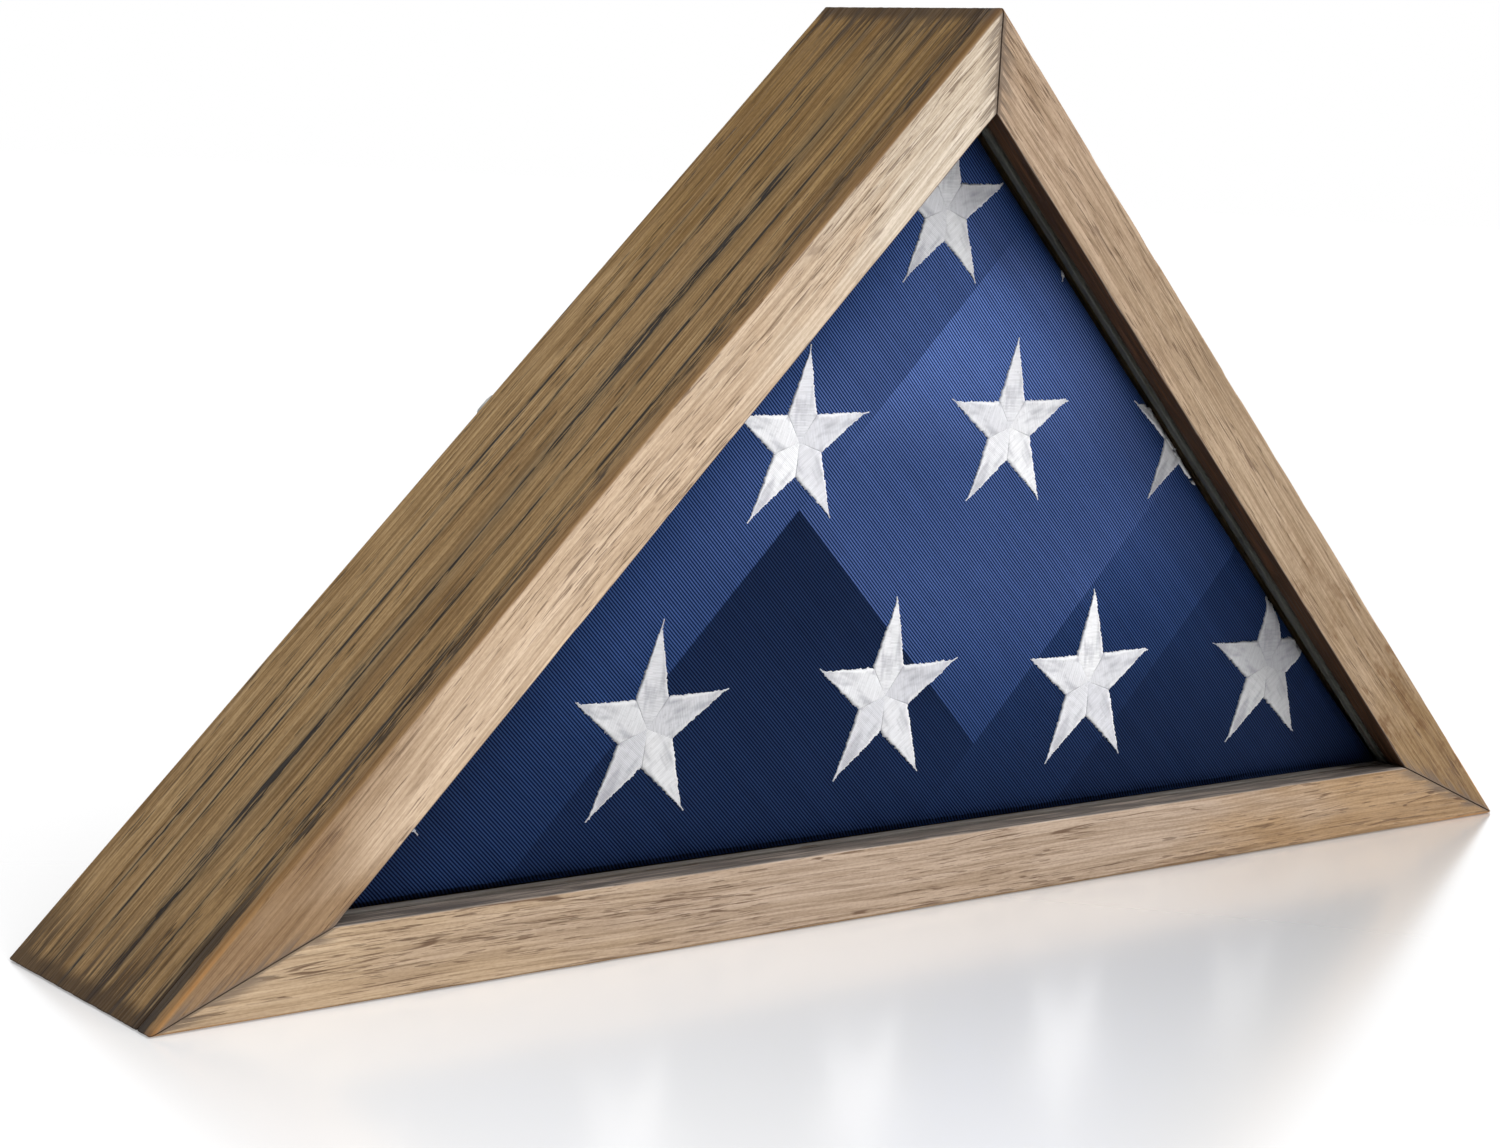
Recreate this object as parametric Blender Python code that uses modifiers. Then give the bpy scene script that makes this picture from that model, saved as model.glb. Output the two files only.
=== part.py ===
"""Triangular wooden display case that holds a flag folded into a triangle.

The case stands on its long side. X runs along the base, +Z is up, and the glazed
front faces -Y. The origin is the centre of the base board's underside. All
lengths are in metres.
"""

import math

import bmesh
import bpy
from mathutils import Matrix, Vector

# Outside of the case: a right-angled isosceles triangle standing on its long side
BASE_LENGTH = 0.648
CASE_HEIGHT = BASE_LENGTH / 2
CASE_DEPTH = 0.097
FRONT = -CASE_DEPTH / 2
REAR = CASE_DEPTH / 2
GAP = 0.0003

# Wooden frame
BOARD_THICKNESS = 0.015
RAIL_WIDTH = 0.0265
RAIL_THICKNESS = 0.009
FRONT_ARRIS = 0.0025
WINDOW_ARRIS = 0.001
REAR_ARRIS = 0.0015

# Glazing, from front to back
GLASS_THICKNESS = 0.002
GLASS_CLEARANCE = 0.0008
STOP_THICKNESS = 0.0035

# Back panel and the ledges that it rests against
PANEL_THICKNESS = 0.0048
PANEL_CLEARANCE = 0.0007
LEDGE_WIDTH = 0.0067
LEDGE_DEPTH = 0.006

# Folded flag
FLAG_CLEARANCE = 0.008
FLAG_FRONT_GAP = 0.0008
FLAG_REAR_GAP = 0.0012
FLAG_EDGE_RADIUS = 0.009
FLAG_CORNER_RADIUS = 0.006

# Turn buttons and their screws
BUTTON_THICKNESS = 0.0016
BUTTON_PIVOT_RADIUS = 0.0055
BUTTON_TIP_RADIUS = 0.004
BUTTON_REACH = 0.015
BUTTON_HOLE_RADIUS = 0.0022
SCREW_HEAD_RADIUS = 0.0036
SCREW_HEAD_HEIGHT = 0.0022
SCREW_SHANK_RADIUS = 0.0017
SCREW_LENGTH = 0.014
PILOT_RADIUS = SCREW_SHANK_RADIUS + GAP

# Strap hangers
STRAP_THICKNESS = 0.001
STRAP_WIDTH = 0.007
STRAP_LENGTH = 0.022
STRAP_SCREW_AT = 0.014
RING_WIRE_RADIUS = 0.001
RING_HALF_WIDTH = 0.005
RING_STRAIGHT = 0.006
RING_CORNER_RADIUS = 0.0015

# V-shaped nails across the mitres, and the stick-on wall bumpers
NAIL_LEG = 0.006
NAIL_THICKNESS = 0.0008
NAIL_DEPTH = 0.010
NAIL_BASE_OFFSET = 0.021
NAIL_APEX_OFFSET = 0.0085
BUMPER_RADIUS = 0.006
BUMPER_HEIGHT = 0.005
BUMPER_X = 0.255

# Planes that follow from the sizes above
BOARD_FRONT = FRONT + RAIL_THICKNESS + GAP
GLASS_REAR = BOARD_FRONT + GLASS_THICKNESS
STOP_REAR = GLASS_REAR + GAP + STOP_THICKNESS
PANEL_FRONT = REAR - PANEL_THICKNESS
LEDGE_REAR = PANEL_FRONT - GAP
BOARD_MIDDLE = BOARD_THICKNESS / 2
HARDWARE_PLANE = REAR + GAP

# Each corner: its outer point, the direction of its mitre inwards, and half its angle
HALF_BASE = math.radians(22.5)
HALF_APEX = math.radians(45)
CORNERS = {
    "left": (
        Vector((-BASE_LENGTH / 2, 0)),
        Vector((math.cos(HALF_BASE), math.sin(HALF_BASE))),
        HALF_BASE,
    ),
    "right": (
        Vector((BASE_LENGTH / 2, 0)),
        Vector((-math.cos(HALF_BASE), math.sin(HALF_BASE))),
        HALF_BASE,
    ),
    "apex": (Vector((0, CASE_HEIGHT)), Vector((0, -1)), HALF_APEX),
}

# Each side runs between two corners, anticlockwise seen from the front
SIDES = {"bottom": ("left", "right"), "right": ("right", "apex"), "left": ("apex", "left")}
BOARD_NAMES = {"bottom": "base_board", "right": "side_board_right", "left": "side_board_left"}

# Turn buttons: side, place along it from 0 to 1, and whether the button points back along it
BUTTONS = {
    "base_left": ("bottom", 0.28, True),
    "base_right": ("bottom", 0.72, False),
    "right_lower": ("right", 0.26, True),
    "right_upper": ("right", 0.78, True),
    "left_upper": ("left", 0.22, False),
    "left_lower": ("left", 0.74, False),
}

# Hangers: side, place along it, and whether up the slope is forwards along the side
HANGERS = {"right": ("right", 0.54, 1), "left": ("left", 0.46, -1)}


def clear_scene():
    """Removes every object that the file holds."""
    for obj in list(bpy.data.objects):
        bpy.data.objects.remove(obj, do_unlink=True)


def collection(name):
    """A collection with this name, linked to the scene."""
    made = bpy.data.collections.new(name)
    bpy.context.scene.collection.children.link(made)
    return made


def principled(name, colour, roughness, metallic=0.0, alpha=1.0):
    """A material with one Principled shader."""
    material = bpy.data.materials.new(name)
    material.use_nodes = True
    shader = material.node_tree.nodes["Principled BSDF"]
    shader.inputs["Base Color"].default_value = (*colour, 1.0)
    shader.inputs["Roughness"].default_value = roughness
    shader.inputs["Metallic"].default_value = metallic
    shader.inputs["Alpha"].default_value = alpha
    return material


def rail_wood():
    return principled("light_weathered_wood", (0.50, 0.36, 0.24), 0.6)


def board_wood():
    return principled("brown_weathered_wood", (0.24, 0.16, 0.09), 0.65)


def strip_wood():
    return principled("plain_pine", (0.45, 0.33, 0.20), 0.65)


def fibreboard():
    return principled("fibreboard", (0.22, 0.14, 0.08), 0.8)


def clear_glass():
    return principled("clear_glass", (0.9, 0.95, 0.93), 0.03, alpha=0.25)


def navy_cloth():
    return principled("navy_cloth", (0.015, 0.03, 0.10), 0.55)


def zinc_plate():
    return principled("zinc_plated_steel", (0.62, 0.62, 0.60), 0.35, metallic=1.0)


def black_rubber():
    return principled("black_rubber", (0.02, 0.02, 0.02), 0.8)


def side_direction(side):
    """Unit vector along a side, in the plane of the front."""
    start, end = SIDES[side]
    return (CORNERS[end][0] - CORNERS[start][0]).normalized()


def inward(side):
    """Unit vector from a side into the case."""
    along = side_direction(side)
    return Vector((-along.y, along.x))


def inset_corner(corner, inset):
    """The corner of the triangle that lies this far inside the outer one."""
    point, mitre, half_angle = CORNERS[corner]
    return point + mitre * (inset / math.sin(half_angle))


def point_on_side(side, fraction, inset):
    """A point this far along a side and this far inside it."""
    start, end = SIDES[side]
    outer = CORNERS[start][0].lerp(CORNERS[end][0], fraction)
    return outer + inward(side) * inset


def triangle_outline(inset):
    """The whole triangle, this far inside the outer one."""
    return [inset_corner(corner, inset) for corner in ("left", "right", "apex")]


def mitred_outline(side, outer_inset, inner_inset):
    """A strip along one side whose mitred ends stop half a gap short of the mitres."""
    along = side_direction(side)
    start, end = SIDES[side]
    start_back = along * (GAP / 2 / math.sin(CORNERS[start][2]))
    end_back = along * (GAP / 2 / math.sin(CORNERS[end][2]))
    return [
        inset_corner(start, outer_inset) + start_back,
        inset_corner(end, outer_inset) - end_back,
        inset_corner(end, inner_inset) - end_back,
        inset_corner(start, inner_inset) + start_back,
    ]


def arc(centre, radius, start, end, count):
    """Points along an arc, both ends included. The angles are in radians."""
    steps = [start + (end - start) * i / (count - 1) for i in range(count)]
    return [centre + radius * Vector((math.cos(a), math.sin(a))) for a in steps]


def rounded_triangle(inset, radius, count):
    """The inset triangle with its corners rounded."""
    points = []
    turn_start = -math.pi / 2
    for corner in ("right", "apex", "left"):
        point, mitre, half_angle = CORNERS[corner]
        centre = point + mitre * ((inset + radius) / math.sin(half_angle))
        turn_end = turn_start + math.pi - 2 * half_angle
        points += arc(centre, radius, turn_start, turn_end, count)
        turn_start = turn_end
    return points


def add_mesh(name, mesh, target, material):
    """A mesh object in its collection, with its material."""
    obj = bpy.data.objects.new(name, mesh)
    target.objects.link(obj)
    if material:
        mesh.materials.clear()
        mesh.materials.append(material)
    return obj


def extruded(name, outlines, thickness, placement, target, material=None):
    """A flat plate: outlines in the local XY plane, thickness centred along local Z."""
    curve = bpy.data.curves.new(name + "_outline", "CURVE")
    curve.dimensions = "2D"
    curve.fill_mode = "BOTH"
    curve.extrude = thickness / 2
    for outline in outlines:
        spline = curve.splines.new("POLY")
        spline.points.add(len(outline) - 1)
        for point, place in zip(spline.points, outline):
            point.co = (place.x, place.y, 0, 1)
        spline.use_cyclic_u = True
    shape = bpy.data.objects.new(name + "_outline", curve)
    target.objects.link(shape)
    bpy.context.view_layer.update()
    evaluated = shape.evaluated_get(bpy.context.evaluated_depsgraph_get())
    mesh = bpy.data.meshes.new_from_object(evaluated)
    bpy.data.objects.remove(shape, do_unlink=True)
    weld_caps(mesh)
    mesh.name = name
    obj = add_mesh(name, mesh, target, material)
    obj.matrix_world = placement
    return obj


def weld_caps(mesh):
    """Joins a filled curve's loose caps to its sides and points the faces outwards."""
    shape = bmesh.new()
    shape.from_mesh(mesh)
    bmesh.ops.remove_doubles(shape, verts=shape.verts, dist=0.000001)
    bmesh.ops.recalc_face_normals(shape, faces=shape.faces)
    shape.to_mesh(mesh)
    shape.free()


def upright(centre, middle_y):
    """Placement of a plate whose local X and Y lie along world X and Z."""
    place = Matrix.Translation((centre.x, middle_y, centre.y))
    return place @ Matrix.Rotation(math.radians(90), 4, "X")


def case_plate(name, outline, front, rear, target, material=None):
    """A plate parallel to the case's front, between two depths."""
    placement = upright(Vector((0, 0)), (front + rear) / 2)
    return extruded(name, [outline], rear - front, placement, target, material)


def round_long_edges(obj, side, rules):
    """Rounds edges that run along a side. Each rule gives an inset, a world y and a radius."""
    along = side_direction(side)
    start = CORNERS[SIDES[side][0]][0]
    shape = bmesh.new()
    shape.from_mesh(obj.data)
    for inset, depth, radius in rules:
        chosen = []
        for edge in shape.edges:
            ends = [obj.matrix_world @ vertex.co for vertex in edge.verts]
            flat = [Vector((end.x, end.z)) - start for end in ends]
            insets = [point.dot(inward(side)) for point in flat]
            on_line = all(abs(value - inset) < GAP / 3 for value in insets)
            at_depth = all(abs(end.y - depth) < GAP / 3 for end in ends)
            long_edge = abs((flat[1] - flat[0]).dot(along)) > BASE_LENGTH / 4
            if on_line and at_depth and long_edge:
                chosen.append(edge)
        bmesh.ops.bevel(
            shape, geom=chosen, offset=radius, segments=3, profile=0.5, affect="EDGES"
        )
    shape.to_mesh(obj.data)
    shape.free()
    smooth(obj)


def smooth(obj):
    """Smooth shading that keeps the real edges sharp."""
    obj.data.shade_smooth()
    obj.data.set_sharp_from_angle(angle=math.radians(35))


def cutter(obj):
    """Marks an object as a cutter, left out of the model."""
    obj.hide_render = True
    obj.display_type = "WIRE"
    return obj


def cut(obj, tool):
    """Cuts the tool's shape out of the object."""
    modifier = obj.modifiers.new("cut_" + tool.name, "BOOLEAN")
    modifier.operation = "DIFFERENCE"
    modifier.object = tool


def turned(name, profile, steps, placement, target, material):
    """A round piece: the profile of (radius, height) points turned about local Z."""
    mesh = bpy.data.meshes.new(name)
    edges = [(i, i + 1) for i in range(len(profile) - 1)]
    mesh.from_pydata([(radius, 0, height) for radius, height in profile], edges, [])
    obj = add_mesh(name, mesh, target, material)
    screw = obj.modifiers.new("turn", "SCREW")
    screw.steps = steps
    screw.render_steps = steps
    screw.use_merge_vertices = True
    screw.merge_threshold = 0.00001
    screw.use_smooth_shade = True
    obj.matrix_world = placement
    return obj


def facing_rear(point, depth):
    """Placement of a turned piece whose local Z points out of the back of the case."""
    place = Matrix.Translation((point.x, depth, point.y))
    return place @ Matrix.Rotation(math.radians(-90), 4, "X")


def face_rail(side, target, material):
    """One mitred rail of the front frame."""
    outline = mitred_outline(side, 0, RAIL_WIDTH)
    name = "face_rail_" + side
    rail = case_plate(name, outline, FRONT, FRONT + RAIL_THICKNESS, target, material)
    rules = [(0, FRONT, FRONT_ARRIS), (RAIL_WIDTH, FRONT, WINDOW_ARRIS)]
    round_long_edges(rail, side, rules)


def board(side, target, material):
    """One mitred board of the case's wall."""
    outline = mitred_outline(side, 0, BOARD_THICKNESS)
    made = case_plate(BOARD_NAMES[side], outline, BOARD_FRONT, REAR, target, material)
    rules = [(0, REAR, REAR_ARRIS), (BOARD_THICKNESS, REAR, REAR_ARRIS / 3)]
    round_long_edges(made, side, rules)
    return made


def glass_pane(target, material):
    """The pane, held between the front rails and the glass stops."""
    outline = triangle_outline(BOARD_THICKNESS + GLASS_CLEARANCE)
    case_plate("glass_pane", outline, BOARD_FRONT, GLASS_REAR, target, material)


def glass_stop(side, target, material):
    """A thin mitred strip behind the pane, flush with the window's edge."""
    outline = mitred_outline(side, BOARD_THICKNESS + GAP, RAIL_WIDTH)
    case_plate("glass_stop_" + side, outline, GLASS_REAR + GAP, STOP_REAR, target, material)


def back_ledge(side, target, material):
    """A mitred strip inside a board, that the back panel rests against."""
    inner = BOARD_THICKNESS + GAP + LEDGE_WIDTH
    outline = mitred_outline(side, BOARD_THICKNESS + GAP, inner)
    front = LEDGE_REAR - LEDGE_DEPTH
    case_plate("back_ledge_" + side, outline, front, LEDGE_REAR, target, material)


def back_panel(target, material):
    """The removable back, flush with the boards' rear edges."""
    outline = triangle_outline(BOARD_THICKNESS + PANEL_CLEARANCE)
    case_plate("back_panel", outline, PANEL_FRONT, REAR, target, material)


def folded_flag(target, material):
    """The flag's folded bundle, a soft triangular block with rounded edges."""
    outline = rounded_triangle(BOARD_THICKNESS + FLAG_CLEARANCE, FLAG_CORNER_RADIUS, 5)
    front = STOP_REAR + FLAG_FRONT_GAP
    rear = PANEL_FRONT - FLAG_REAR_GAP
    flag = case_plate("folded_flag", outline, front, rear, target, material)
    soften = flag.modifiers.new("soft_edges", "BEVEL")
    soften.width = FLAG_EDGE_RADIUS
    soften.segments = 3
    soften.limit_method = "ANGLE"
    soften.angle_limit = math.radians(60)
    flag.data.shade_smooth()


def screw(name, point, head_plane, target, material):
    """A round-head wood screw whose head rests on head_plane."""
    shank = SCREW_SHANK_RADIUS
    head = SCREW_HEAD_RADIUS
    height = SCREW_HEAD_HEIGHT
    profile = [
        (0, height),
        (head * 0.55, height * 0.88),
        (head * 0.88, height * 0.5),
        (head, 0),
        (shank, 0),
        (shank, -SCREW_LENGTH * 0.8),
        (0, -SCREW_LENGTH),
    ]
    turned(name, profile, 12, facing_rear(point, head_plane), target, material)


def pilot_hole(name, point, target):
    """The cutter for a screw's hole in a board."""
    length = SCREW_LENGTH + GAP
    profile = [
        (0, length),
        (PILOT_RADIUS, length),
        (PILOT_RADIUS, -length),
        (0, -length),
    ]
    return cutter(turned(name, profile, 12, facing_rear(point, REAR), target, None))


def button_outline(direction):
    """A tapered button about its pivot: a large round end, and a small one at its reach."""
    spread = math.acos((BUTTON_PIVOT_RADIUS - BUTTON_TIP_RADIUS) / BUTTON_REACH)
    heading = math.atan2(direction.y, direction.x)
    large = arc(
        Vector((0, 0)),
        BUTTON_PIVOT_RADIUS,
        heading + spread,
        heading + 2 * math.pi - spread,
        11,
    )
    tip = direction * BUTTON_REACH
    small = arc(tip, BUTTON_TIP_RADIUS, heading - spread, heading + spread, 8)
    return large + small


def turn_button(place, side, fraction, backwards, target, material):
    """A flat turn button lying along its board, its origin on its screw's axis."""
    point = point_on_side(side, fraction, BOARD_MIDDLE)
    direction = side_direction(side) * (-1 if backwards else 1)
    hole = arc(Vector((0, 0)), BUTTON_HOLE_RADIUS, 0, 2 * math.pi, 13)[:-1]
    placement = upright(point, HARDWARE_PLANE + BUTTON_THICKNESS / 2)
    outlines = [button_outline(direction), hole]
    name = "turn_button_" + place
    button = extruded(name, outlines, BUTTON_THICKNESS, placement, target, material)
    ease = button.modifiers.new("eased_edges", "BEVEL")
    ease.width = 0.0003
    ease.segments = 1
    ease.limit_method = "ANGLE"
    ease.angle_limit = math.radians(50)
    smooth(button)


def strap_outline():
    """Side view of a hanger strap: a flat tail and an eye rolled round the ring's wire."""
    inner = RING_WIRE_RADIUS + GAP
    outer = inner + STRAP_THICKNESS
    eye = Vector((0, outer))
    rolled = math.radians(200)
    outside = arc(eye, outer, -math.pi / 2, rolled, 13)
    inside = arc(eye, inner, rolled, -math.pi / 2, 13)
    tail = [Vector((-STRAP_LENGTH, STRAP_THICKNESS)), Vector((-STRAP_LENGTH, 0))]
    return tail + outside + inside


def ring_outline():
    """The ring's centre line: a straight bar at local X = 0, two sides and a round end."""
    corner = RING_CORNER_RADIUS
    half = RING_HALF_WIDTH
    lower = arc(Vector((corner, -half + corner)), corner, math.pi, 1.5 * math.pi, 4)
    end = arc(Vector((RING_STRAIGHT, 0)), half, -math.pi / 2, math.pi / 2, 9)
    upper = arc(Vector((corner, half - corner)), corner, math.pi / 2, math.pi, 4)
    return lower + end + upper


def hanger(place, side, fraction, forwards, target, cutters, material):
    """A strap hanger: a screwed strap, and a D-shaped ring that swings in its eye."""
    eye = point_on_side(side, fraction, BOARD_MIDDLE)
    up_slope = side_direction(side) * forwards
    along = Vector((up_slope.x, 0, up_slope.y))
    outwards = Vector((0, 1, 0))
    across = along.cross(outwards)
    axes = Matrix((along, outwards, across)).transposed().to_4x4()
    base = Matrix.Translation((eye.x, HARDWARE_PLANE, eye.y))
    name = "hanger_strap_" + place
    strap = extruded(name, [strap_outline()], STRAP_WIDTH, base @ axes, target, material)
    smooth(strap)
    screw_at = eye - up_slope * STRAP_SCREW_AT
    cut(strap, pilot_hole("strap_hole_" + place, screw_at, cutters))
    head_plane = HARDWARE_PLANE + STRAP_THICKNESS + GAP
    screw("hanger_screw_" + place, screw_at, head_plane, target, material)
    eye_height = RING_WIRE_RADIUS + GAP + STRAP_THICKNESS
    flat = Matrix((along, across, -outwards)).transposed().to_4x4()
    centre = Matrix.Translation((eye.x, HARDWARE_PLANE + eye_height, eye.y))
    hanger_ring("hanger_ring_" + place, centre @ flat, target, material)
    return screw_at


def hanger_ring(name, placement, target, material):
    """A closed ring of round wire, its origin in the middle of its straight bar."""
    curve = bpy.data.curves.new(name, "CURVE")
    curve.dimensions = "3D"
    curve.bevel_depth = RING_WIRE_RADIUS
    curve.bevel_resolution = 2
    points = ring_outline()
    spline = curve.splines.new("POLY")
    spline.points.add(len(points) - 1)
    for point, place in zip(spline.points, points):
        point.co = (place.x, place.y, 0, 1)
    spline.use_cyclic_u = True
    spline.use_smooth = True
    curve.materials.append(material)
    ring = bpy.data.objects.new(name, curve)
    target.objects.link(ring)
    ring.matrix_world = placement


def nail_outline(corner, offset, leg, thickness):
    """A V whose point lies on the mitre and whose legs open into the two boards."""
    point, mitre, half_angle = CORNERS[corner]
    vertex = point + mitre * offset
    side = Vector((-mitre.y, mitre.x))
    lean = math.radians(45)
    back = thickness / 2 / math.sin(lean)

    def at(forwards, sideways):
        return vertex + mitre * forwards + side * sideways

    reach = leg * math.cos(lean)
    half = thickness / 2 * math.cos(lean)
    return [
        at(-back, 0),
        at(reach - half, -reach - half),
        at(reach + half, -reach + half),
        at(back, 0),
        at(reach + half, reach - half),
        at(reach - half, reach + half),
    ]


def corner_nail(corner, target, cutters, material):
    """A V nail let into the rear edges at a mitre. Returns the cutter for its slot."""
    offset = NAIL_APEX_OFFSET if corner == "apex" else NAIL_BASE_OFFSET
    outline = nail_outline(corner, offset, NAIL_LEG, NAIL_THICKNESS)
    rear = REAR - GAP
    case_plate("corner_nail_" + corner, outline, rear - NAIL_DEPTH, rear, target, material)
    slot = nail_outline(corner, offset, NAIL_LEG + GAP, NAIL_THICKNESS + 2 * GAP)
    depth = rear - NAIL_DEPTH - GAP
    return cutter(case_plate("nail_slot_" + corner, slot, depth, REAR + GAP, cutters))


def wall_bumper(name, x, target, material):
    """A domed rubber bumper on the base board's rear edge."""
    radius = BUMPER_RADIUS
    height = BUMPER_HEIGHT
    profile = [
        (0, height),
        (radius * 0.5, height * 0.96),
        (radius * 0.82, height * 0.72),
        (radius, height * 0.3),
        (radius, 0),
        (0, 0),
    ]
    point = Vector((x, BOARD_MIDDLE))
    turned(name, profile, 16, facing_rear(point, HARDWARE_PLANE), target, material)


def make_case():
    """Every piece of the display case, in its own object."""
    clear_scene()
    case = collection("flag_display_case")
    cutters = collection("cutters")
    light_wood = rail_wood()
    brown_wood = board_wood()
    pine = strip_wood()
    metal = zinc_plate()
    rubber = black_rubber()

    boards = {}
    for side in SIDES:
        face_rail(side, case, light_wood)
        boards[side] = board(side, case, brown_wood)
        glass_stop(side, case, pine)
        back_ledge(side, case, pine)
    glass_pane(case, clear_glass())
    back_panel(case, fibreboard())
    folded_flag(case, navy_cloth())

    for corner in CORNERS:
        slot = corner_nail(corner, case, cutters, metal)
        for side, ends in SIDES.items():
            if corner in ends:
                cut(boards[side], slot)

    head_plane = HARDWARE_PLANE + BUTTON_THICKNESS + GAP
    for place, (side, fraction, backwards) in BUTTONS.items():
        turn_button(place, side, fraction, backwards, case, metal)
        point = point_on_side(side, fraction, BOARD_MIDDLE)
        screw("button_screw_" + place, point, head_plane, case, metal)
        cut(boards[side], pilot_hole("button_pilot_" + place, point, cutters))

    for place, (side, fraction, forwards) in HANGERS.items():
        screw_at = hanger(place, side, fraction, forwards, case, cutters, metal)
        cut(boards[side], pilot_hole("hanger_pilot_" + place, screw_at, cutters))

    wall_bumper("wall_bumper_left", -BUMPER_X, case, rubber)
    wall_bumper("wall_bumper_right", BUMPER_X, case, rubber)


make_case()
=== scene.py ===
"""Looks of a folded flag display case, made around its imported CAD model.

Lengths are in metres, in the CAD model's frame: X along the base, +Z up, and the
glazed front faces -Y.
"""

import math

import bmesh
import bpy
import numpy as np
from mathutils import Matrix, Vector
from mathutils.bvhtree import BVHTree


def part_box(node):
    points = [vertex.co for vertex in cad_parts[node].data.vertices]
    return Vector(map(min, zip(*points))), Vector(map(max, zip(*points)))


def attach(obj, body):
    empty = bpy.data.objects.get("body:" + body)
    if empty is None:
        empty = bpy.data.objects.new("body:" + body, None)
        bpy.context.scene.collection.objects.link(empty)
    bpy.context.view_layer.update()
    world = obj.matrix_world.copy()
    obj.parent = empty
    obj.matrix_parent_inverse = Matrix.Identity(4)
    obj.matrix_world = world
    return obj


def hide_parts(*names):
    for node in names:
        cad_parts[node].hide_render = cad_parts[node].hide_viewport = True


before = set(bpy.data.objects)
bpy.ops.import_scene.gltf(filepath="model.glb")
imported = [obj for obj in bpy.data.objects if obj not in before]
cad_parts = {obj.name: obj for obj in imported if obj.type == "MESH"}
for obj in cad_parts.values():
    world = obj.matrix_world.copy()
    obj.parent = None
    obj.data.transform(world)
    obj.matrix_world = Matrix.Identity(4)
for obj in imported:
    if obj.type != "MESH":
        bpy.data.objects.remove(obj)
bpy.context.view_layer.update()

MM = 0.001

# Camera: where it stands, how it looks, and its lens
CAMERA_AT = Vector((-0.7382, -0.8195, 0.2790))
CAMERA_FORWARD = Vector((0.62961, 0.76249, -0.14899))
CAMERA_UP = Vector((0.05385, 0.14847, 0.98745))
CAMERA_LENS = 71.68
CAMERA_SENSOR = 36.0

# Light
SURROUND = 0.36
KEY_STRENGTH = 5.0
KEY_SOFTNESS = math.radians(38)
KEY_FROM = (0.6, -0.45, 0.9)
FLOOR_GLOW = 0.51
FLOOR_GLOSS = (0.1, 1.0)
FLOOR_ROUGHNESS = 0.2
FLOOR_GRAZING = (0.58, 0.93)
FLOOR_COLOUR = (0.38, 0.38, 0.385, 1)
FLOOR_RADIUS = 12
FLOOR_SIDES = 64
FLOOR_GAP = 0.2 * MM

# The triangle that the mitred pieces follow
MITRE_GAP = 0.3 * MM
HALF_ANGLE = {"left": math.radians(22.5), "right": math.radians(22.5), "apex": math.radians(45)}
RAIL_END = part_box("face_rail_bottom")[1].x
HALF_BASE = RAIL_END + MITRE_GAP / 2 / math.sin(HALF_ANGLE["right"])
CORNERS = {
    "left": Vector((-HALF_BASE, 0, 0)),
    "right": Vector((HALF_BASE, 0, 0)),
    "apex": Vector((0, 0, HALF_BASE)),
}
SIDES = {"bottom": ("left", "right"), "right": ("right", "apex"), "left": ("apex", "left")}
BOARDS = {"bottom": "base_board", "right": "side_board_right", "left": "side_board_left"}
CASE_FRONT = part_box("face_rail_bottom")[0].y
CASE_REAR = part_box("base_board")[1].y

# Rounded arrises: outer rear, inner rear, inner front, outer front
ARRIS_POINTS = 5
ARRIS_SIGN = (0, 0, -1, 1)
SHARP = 0.35 * MM
MITRE_EASE = 0.35 * MM
SHARP_ANGLE = math.radians(42)

# Each kind of wood's arris radii and point spacings, both from the rear or outer rear on, its
# point spacing along the grain, and how deep its relief goes
RAIL_SHAPE = {
    "radii": (SHARP, SHARP, 0.8 * MM, 1.4 * MM), "steps": (6 * MM, 2 * MM, 0.6 * MM, 1 * MM),
    "length_step": 4.5 * MM, "relief": 0.16 * MM,
}
BOARD_SHAPE = {
    "radii": (1.5 * MM, 0.6 * MM, SHARP, SHARP), "steps": (1.5 * MM, 5 * MM, 2 * MM, 0.75 * MM),
    "length_step": 5.5 * MM, "relief": 0.2 * MM,
}
STRIP_SHAPE = {
    "radii": (SHARP, 0.5 * MM, 0.5 * MM, SHARP), "steps": (1.5 * MM,) * 4,
    "length_step": 8 * MM, "relief": 0.1 * MM,
}
STRIPS = {"glass_stop_": 70, "back_ledge_": 80}

RAIL_SEEDS = {"left": 3, "right": 11, "bottom": 23}
NAIL_CLEARANCE = 0.3 * MM
SLOT_BEYOND = 1 * MM

# Flag bundle
FLAG_LOW, FLAG_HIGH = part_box("folded_flag")
FLAG_INSET = FLAG_LOW.z
FLAG_FRONT = FLAG_LOW.y
FLAG_REAR = FLAG_HIGH.y
FLAG_EDGE = 3.5 * MM
FLAG_DIVISIONS = 72
FLAG_LAYERS = 12
LAYER_ROWS = 3
# Its faces stay inside its space and are sunk a little, and its wall is creased and uneven
FACE_MARGIN = 0.4 * MM
FACE_DEPTH = 6 * MM
FACE_SUNK = 1.1 * MM
FACE_WAVES = 1.0 * MM
FACE_RIPPLES = 0.3 * MM
WALL_CREASE = 2.4 * MM
WALL_UNEVEN = 1.4 * MM

# Folds under the front of the flag. Slope +1 runs up to the right (z - x is constant),
# slope -1 runs down to the right (z + x is constant).
FOLD_A = 213 * MM
FOLD_B = 80 * MM
FOLD_C = 29 * MM
FOLD_D = -43 * MM
FOLD_E = -151 * MM
# Painted sheen and shade of the cloth to the right of each fold, darker low down: from and to a height, and
# the tone at each
RIGHT_PAINTED_SHADING = (
    (FOLD_C, (0.055, 0.200, 0.18, 0.62)),
    (FOLD_D, (0.055, 0.200, 0.145, 0.42)),
    (FOLD_E, (0.055, 0.150, 0.145, 0.34)),
)
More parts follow.
